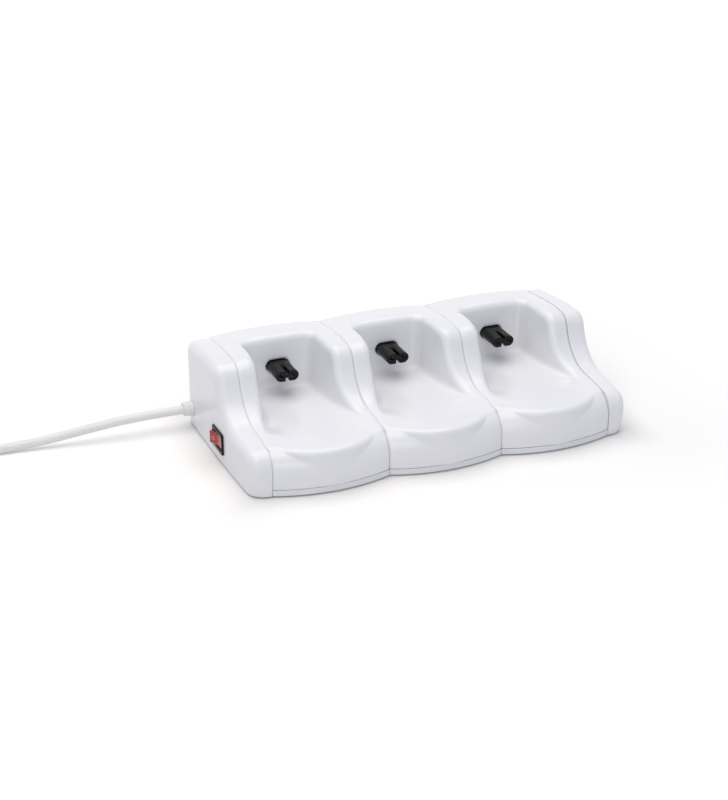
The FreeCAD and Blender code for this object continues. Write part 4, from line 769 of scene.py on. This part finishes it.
def plug_block():
    """Flat two-pin plug along -Y with a bent, ribbed strain relief behind it. Relief: rings on the
    bend; radius = radius at the plug - taper * distance from it - grooves between the ribs. Body:
    rounded rectangles that widen over its first third."""
    x0, y0, z0 = plug_centre()
    length = 2 * PLUG_HALF_LENGTH
    tip = np.linspace(RELIEF_LENGTH, 0, 61)
    middle, outward = bend_into_plug(tip / RELIEF_BEND)
    taper = RELIEF_RADIUS - RELIEF_TAPER * tip
    wave = smoothstep(*RIB_EDGE, np.cos(2 * np.pi * tip / RIB_SPACING))
    rib = RIB_HEIGHT * wave * smoothstep(*RIB_FROM_PLUG, tip)
    radius = taper - RIB_HEIGHT + rib * smoothstep(*RIB_FROM_TIP, RELIEF_LENGTH - tip)
    flat = radius[:, None, None] * rounded_rectangle(1.0, 1.0, 1.0, 9)
    across = outward[:, None] * (RELIEF_BEND + flat[..., :1])
    shapes = list(middle + across + flat[..., 1:] * [0.0, 0.0, 1.0])
    body = np.linspace(2.5, length - 1.7, 22)
    face = [length - t for t in (1.2, 0.7, 0.3, 0.08, 0.0)]
    for t in (0.0, 0.3, 0.8, 1.5, *body, *face):
        nose = edge_inset(length - t, PLUG_ROUNDS[1])
        less = nose + edge_inset(t, PLUG_ROUNDS[0])
        half_x = PLUG_BACK[0] + PLUG_GROWTH[0] * smoothstep(*PLUG_WIDENS, t) - less
        half_z = PLUG_BACK[1] + PLUG_GROWTH[1] * smoothstep(*PLUG_THICKENS, t) - less
        loop = rounded_rectangle(half_x, half_z, PLUG_CORNER - nose, 9)
        depth = np.full(len(loop), y0 + PLUG_HALF_LENGTH - t)
        shapes.append(np.stack([x0 - loop[:, 0], depth, z0 + loop[:, 1]], -1))
    return stack(shapes)


# -------- feet and screws

FOOT_SIDE = 27.0            # from the middle of a bay
FOOT_DEPTHS = (15.0, 116.0)
SCREW_DEPTHS = (-2.0, 128.5)
SCREW_FACE = 1.25           # height of the heads' lowest point
HEAD_RADIUS = 2.6
HEAD_HEIGHT = 1.3
HEAD_FACE = 2.35            # radius of its domed face
DOME = 0.22
RECESS_DEPTH = 0.85
RECESS_SIDE = (0.28, 0.45)  # half width of a bar, at its bottom and its top
RECESS_END = (1.3, 1.6)     # and its half length
SHANK_RADIUS = 1.3
SHANK_REACH = 11.0


def foot_block(x, y):
    """Round rubber foot with a softened lower edge."""
    profile = [(0.0, 0.01), (0.0, 4.2), (0.06, 4.5), (0.25, 4.78), (0.5, 4.93), (0.8, 5.0),
               (1.2, 5.0)]
    return revolve(profile, (x, y, 0.0), (0, 0, 1), 40)


def screw_head_block(x, y, z):
    """Pan head with a cross recess, face down: depth(r, a) = domed face + cross of two bars, each
    bar fading out over its width and at its end."""
    angle = np.linspace(0, 2 * np.pi, 64, endpoint=False)
    r = np.linspace(0, 1, 15)[1:, None] * HEAD_FACE
    sides = np.abs([r * np.sin(angle), r * np.cos(angle)])
    cross = 1 - smoothstep(*RECESS_SIDE, sides.min(0))
    cross = cross * (1 - smoothstep(*RECESS_END, sides.max(0)))
    depth = z + DOME * (r / HEAD_RADIUS) ** 2 + RECESS_DEPTH * cross
    face = np.stack([x + r * np.cos(angle), y + r * np.sin(angle), depth], -1)
    rest = [(HEAD_RADIUS, 0.5), (HEAD_RADIUS, HEAD_HEIGHT), (SHANK_RADIUS, HEAD_HEIGHT),
            (SHANK_RADIUS, SHANK_REACH - 1), (0.7, SHANK_REACH)]
    loops = [np.stack([x + q * np.cos(angle), y + q * np.sin(angle), np.full(64, z + h)], -1)
             for q, h in rest]
    return stack(np.concatenate([face, loops]))


# -------- settings


class PowerBaseSettings(bpy.types.PropertyGroup):
    """Sizes and colours of the power base that a user would change."""
    floor_colour: bpy.props.FloatVectorProperty(
        name="Floor", description="Colour of the studio floor", subtype="COLOR", size=4,
        default=linear("#F2F0ED"))
    key_power: bpy.props.FloatProperty(
        name="Key light", description="Power of the large soft light above", unit="POWER",
        default=19.1)
    world_strength: bpy.props.FloatProperty(
        name="Room light", description="Strength of the even light all round", default=0.46)
    lead_diameter: bpy.props.FloatProperty(
        name="Lead", description="Diameter of the mains lead", unit="LENGTH",
        default=2 * LEAD_RADIUS * MM)
    view_turn: bpy.props.FloatProperty(
        name="View turn", description="Bearing of the camera's view", subtype="ANGLE",
        default=0.3839)
    view_dip: bpy.props.FloatProperty(
        name="View dip", description="How far the camera looks down", subtype="ANGLE",
        default=0.4267)


# -------- stage

# from the camera to the floor at the middle, depth 0: to the right, up and ahead
VIEW_RIGHT = 54.4065
VIEW_UP = -43.7598
VIEW_AHEAD = 1159.1634
LENS = 78.75
SENSOR = 36.0
# the next lengths are in metres
VIEW_REACH = 50.0
BASE_HALF = (0.137, 0.07, 0.0)  # half of what the base covers of the floor
FLOOR_HALF = 6.0
# extra floor light by the distance from the base: near, far, strength near, strength far
FLOOR_LIFTS = [(0.004, 0.024, 0.02, 0.12), (0.02, 1.4, 0.0, 1.2)]
WHITE = linear("#FFFFFF")
ROOM_COLOUR = linear("#DFE9FF")
LAMP_COLOUR = linear("#FFF9F0")
LAMP_AIM = Vector((0, 0, 0.03))
# place, size along x and y, and power over the key light's
LAMPS = {
    "lamp_overhead": ((-0.2, 0.1, 1.45), 2.0, 1.6, 1.0),
    "lamp_front_left": ((-0.35, -1.1, 0.5), 0.6, 0.5, 0.075),
}


def make_camera(context, settings):
    """Camera by its bearing and dip, set back from the floor at the middle, depth 0."""
    yaw, dip = settings.view_turn, settings.view_dip
    right = Vector((math.cos(yaw), -math.sin(yaw), 0))
    ahead = Vector((math.sin(yaw) * math.cos(dip), math.cos(yaw) * math.cos(dip), -math.sin(dip)))
    up = right.cross(ahead)
    away = (right * VIEW_RIGHT + up * VIEW_UP + ahead * VIEW_AHEAD) * MM
    camera = bpy.data.cameras.new("camera")
    camera.lens = LENS
    camera.sensor_width = SENSOR
    camera.clip_end = VIEW_REACH
    matrix = Matrix((right, up, -ahead)).transposed().to_4x4()
    matrix.translation = -away - Vector((0, HALF_DEPTH * MM, 0))
    context.scene.camera = add_object("camera", camera)
    context.scene.camera.matrix_world = matrix


def seen_directly(tree):
    """1 for rays from the camera, and for those that reach it by way of gloss or glass; else 0."""
    ray = add_node(tree, "ShaderNodeLightPath").outputs
    total = ray["Is Camera Ray"]
    for kind in ("Is Glossy Ray", "Is Transmission Ray"):
        both = {0: total, 1: ray[kind]}
        total = add_node(tree, "ShaderNodeMath", {"use_clamp": True}, both).outputs[0]
    return total


def make_floor(settings):
    """Wide plane. Where it is seen directly its diffuse light is lifted, a little beside the base
    so that the shadow stays, and up to white away from it. The distance from the base is the
    length of max(|place| - half the base, 0)."""
    material, tree, output = new_material("floor_plain")
    away = add_node(tree, "ShaderNodeTexCoord").outputs["Object"]
    for operation, other in (("ABSOLUTE", {}), ("SUBTRACT", {1: BASE_HALF}),
                             ("MAXIMUM", {1: (0, 0, 0)})):
        away = add_node(tree, "ShaderNodeVectorMath", {"operation": operation},
                        {0: away, **other}).outputs[0]
    away = add_node(tree, "ShaderNodeVectorMath", {"operation": "LENGTH"}, {0: away})
    lifts = {}
    for i, (near, far, least, most) in enumerate(FLOOR_LIFTS):
        steps = {"Value": away.outputs["Value"], "From Min": near, "From Max": far,
                 "To Min": least, "To Max": most}
        lifts[i] = add_node(tree, "ShaderNodeMapRange", None, steps).outputs["Result"]
    lift = add_node(tree, "ShaderNodeMath", {"operation": "ADD"}, lifts).outputs[0]
    diffuse = add_node(tree, "ShaderNodeBsdfDiffuse", None, {"Color": settings.floor_colour})
    glow = add_node(tree, "ShaderNodeEmission", None, {"Color": WHITE, "Strength": lift})
    both = add_node(tree, "ShaderNodeAddShader", None, {0: diffuse.outputs[0], 1: glow.outputs[0]})
    mix = add_node(tree, "ShaderNodeMixShader", None, {
        0: seen_directly(tree), 1: diffuse.outputs[0], 2: both.outputs[0]})
    tree.links.new(mix.outputs[0], output.inputs["Surface"])
    mesh = bpy.data.meshes.new("floor")
    corners = [(FLOOR_HALF * x, FLOOR_HALF * y, 0) for x, y in ((-1, -1), (1, -1), (1, 1), (-1, 1))]
    mesh.from_pydata(corners, [], [(0, 1, 2, 3)])
    mesh.materials.append(material)
    floor = add_object("floor", mesh)


def make_lights(context, settings):
    """Even cool light from the room, which is white where it is seen directly, and two soft
    lamps: a large one overhead and a small, weak one in front on the left."""
    world = bpy.data.worlds.new("room")
    context.scene.world = world
    world.use_nodes = True
    tree = world.node_tree
    room = tree.nodes["Background"]
    room.inputs["Color"].default_value = ROOM_COLOUR
    room.inputs["Strength"].default_value = settings.world_strength
    white = add_node(tree, "ShaderNodeBackground", None, {"Color": WHITE, "Strength": 1.0})
    mix = add_node(tree, "ShaderNodeMixShader", None, {
        0: seen_directly(tree), 1: room.outputs[0], 2: white.outputs[0]})
    tree.links.new(mix.outputs[0], tree.nodes["World Output"].inputs["Surface"])
    for name, (place, size_x, size_y, share) in LAMPS.items():
        lamp = bpy.data.lights.new(name, "AREA")
        lamp.shape = "RECTANGLE"
        lamp.size = size_x
        lamp.size_y = size_y
        lamp.energy = share * settings.key_power
        lamp.color = LAMP_COLOUR[:3]
        obj = add_object(name, lamp)
        obj.location = place
        obj.rotation_euler = (LAMP_AIM - Vector(place)).to_track_quat("-Z", "Y").to_euler()


class POWER_BASE_OT_stage(bpy.types.Operator):
    """Camera, floor, room light and soft lamps"""
    bl_idname = "power_base.stage"
    bl_label = "Stage"

    def execute(self, context):
        settings = context.scene.power_base
        make_camera(context, settings)
        make_floor(settings)
        make_lights(context, settings)
        context.scene.view_settings.view_transform = "Standard"
        return {"FINISHED"}


# -------- pieces


class POWER_BASE_OT_housings(bpy.types.Operator):
    """The moulded skins of the three bays"""
    bl_idname = "power_base.housings"
    bl_label = "Bay housings"

    def execute(self, context):
        skin = housing_mesh(frame["nodes"]["bay_shell_middle"].data)
        for name, bay in BAYS.items():
            mesh = skin.copy()
            mesh.transform(Matrix.Translation((bay * BAY_PITCH * MM, 0, 0)))
            mesh.materials.clear()
            mesh.materials.append(finish_of("white_abs"))
            made = add_object(f"housing_{name}", mesh)
            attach(made, "base")
            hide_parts(f"bay_shell_{name}")
        return {"FINISHED"}


class POWER_BASE_OT_lead(bpy.types.Operator):
    """Mains lead, its strain relief, the coil and the plug with its pins"""
    bl_idname = "power_base.lead"
    bl_label = "Mains lead"

    def execute(self, context):
        radius = context.scene.power_base.lead_diameter / 2
        lead = nurbs_curve("mains_lead", lead_points(), radius, "pvc_white")
        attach(lead, "base")
        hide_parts("power_cord", "cord_coil")
        relief = self.make_relief()
        plug, pins, sleeves = self.make_plug()
        return {"FINISHED"}

    def make_relief(self):
        """Ring in section about the lead: long taper, collar and neck in the wall."""
        bore = LEAD_RADIUS + RELIEF_CLEAR
        profile = [(0.0, bore), (0.0, 4.2), (0.12, 4.45), (0.45, 4.62), (1.4, 4.72), (6.2, 5.25),
                   (6.6, 5.4), (7.0, 5.4), (7.0, 4.7), (20.0, 4.7), (20.0, bore)]
        block = revolve(profile, EXIT, (1, 0, 0), 56, closed=True)
        relief = piece("strain_relief", [block], "pvc_white", "base")
        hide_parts("strain_relief_bush")
        return relief

    def make_plug(self):
        """Plug body, its two pins turned about their axes, and the sleeves round their roots."""
        plug = piece("plug", [plug_block()], "pvc_white", "base")
        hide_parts("plug_body")
        pin = [(-5.0, 1.55), (0.2, 1.55), (0.2, 1.9), (8.0, 1.9), (9.6, 1.9), (9.8, 2.0),
               (17.6, 2.0), (18.3, 1.8), (18.8, 1.3), (19.0, 0.6)]
        collar = [(-0.5, 1.92), (-0.5, 2.0), (9.5, 2.0), (9.7, 1.97), (9.7, 1.92)]
        roots = [plug_centre() + [side * PIN_SIDE, -PLUG_HALF_LENGTH, 0.0]
                 for side in (-1, 1)]
        ahead = (0, -1, 0)
        pins = piece("plug_pin_metal", [revolve(pin, root, ahead, 32) for root in roots],
                     "brass_nickel", "base")
        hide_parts("plug_pins")
        sleeves = piece("plug_pin_sleeves",
                        [revolve(collar, root, ahead, 32, closed=True) for root in roots],
                        "black_plastic", "base")
        return plug, pins, sleeves


class POWER_BASE_OT_connectors(bpy.types.Operator):
    """The figure-eight connectors on the back walls of the bays"""
    bl_idname = "power_base.connectors"
    bl_label = "Connectors"

    def execute(self, context):
        for name, bay in BAYS.items():
            made = piece(f"connector_{name}", connector_block(bay), "black_plastic", "base")
            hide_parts(f"connector_body_{name}")
        return {"FINISHED"}


class POWER_BASE_OT_switch(bpy.types.Operator):
    """Rocker switch: bezel with its body, rocker and the two marks on it"""
    bl_idname = "power_base.switch"
    bl_label = "Rocker switch"

    def execute(self, context):
        bezel = piece("switch_bezel", [bezel_block()], "bezel_black", "base")
        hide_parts("switch_housing")
        rocker = piece("rocker", [rocker_block()], "red_translucent", "rocker")
        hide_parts("switch_rocker")
        piece("rocker_marks", mark_blocks(), "mark_ink", "rocker")
        return {"FINISHED"}


class POWER_BASE_OT_underside(bpy.types.Operator):
    """Rubber feet and the screws that hold the base plates"""
    bl_idname = "power_base.underside"
    bl_label = "Feet and base screws"

    def execute(self, context):
        feet, screws = [], []
        for middle in (bay * BAY_PITCH for bay in BAYS.values()):
            feet += [foot_block(middle + side, depth - HALF_DEPTH)
                     for side in (-FOOT_SIDE, FOOT_SIDE) for depth in FOOT_DEPTHS]
            screws += [screw_head_block(middle, depth - HALF_DEPTH, SCREW_FACE)
                       for depth in SCREW_DEPTHS]
        made = piece("feet", feet, "rubber_grey", "base")
        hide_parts("rubber_feet")
        made = piece("base_screw_heads", screws, "steel_zinc", "base")
        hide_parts("base_screws")
        return {"FINISHED"}


class POWER_BASE_OT_finishes(bpy.types.Operator):
    """Materials of the model's own pieces: end caps, base plates, contacts, wires and fasteners"""
    bl_idname = "power_base.finishes"
    bl_label = "Finishes"

    def execute(self, context):
        slots = {row["node"]: row["material_slot"] for row in frame["record"]["subparts"]}
        for name, obj in frame["nodes"].items():
            key = "base_abs" if name.startswith("base_plate") else slots[name]
            obj.data.materials.clear()
            obj.data.materials.append(finish_of(key))
        return {"FINISHED"}


# -------- add-on


class POWER_BASE_PT_panel(bpy.types.Panel):
    """Lists the settings and operators of the power base"""
    bl_idname = "POWER_BASE_PT_panel"
    bl_label = "Power base"
    bl_space_type = "VIEW_3D"
    bl_region_type = "UI"
    bl_category = "Power base"

    def draw(self, context):
        settings = context.scene.power_base
        for name in PowerBaseSettings.__annotations__:
            self.layout.prop(settings, name)
        for operator in OPERATORS:
            self.layout.operator(operator.bl_idname)


OPERATORS = (
    POWER_BASE_OT_stage, POWER_BASE_OT_lead, POWER_BASE_OT_housings, POWER_BASE_OT_connectors,
    POWER_BASE_OT_switch, POWER_BASE_OT_underside, POWER_BASE_OT_finishes)
CLASSES = (PowerBaseSettings, *OPERATORS, POWER_BASE_PT_panel)


def register():
    """Registers the settings, the operators and the panel, and gives each scene its settings."""
    for cls in CLASSES:
        bpy.utils.register_class(cls)
    bpy.types.Scene.power_base = bpy.props.PointerProperty(type=PowerBaseSettings)


def unregister():
    """Takes back all that register did, in reverse."""
    del bpy.types.Scene.power_base
    for cls in reversed(CLASSES):
        bpy.utils.unregister_class(cls)


def main():
    register()
    for operator in OPERATORS:
        group, name = operator.bl_idname.split(".")
        getattr(getattr(bpy.ops, group), name)()


if __name__ == "__main__":
    main()
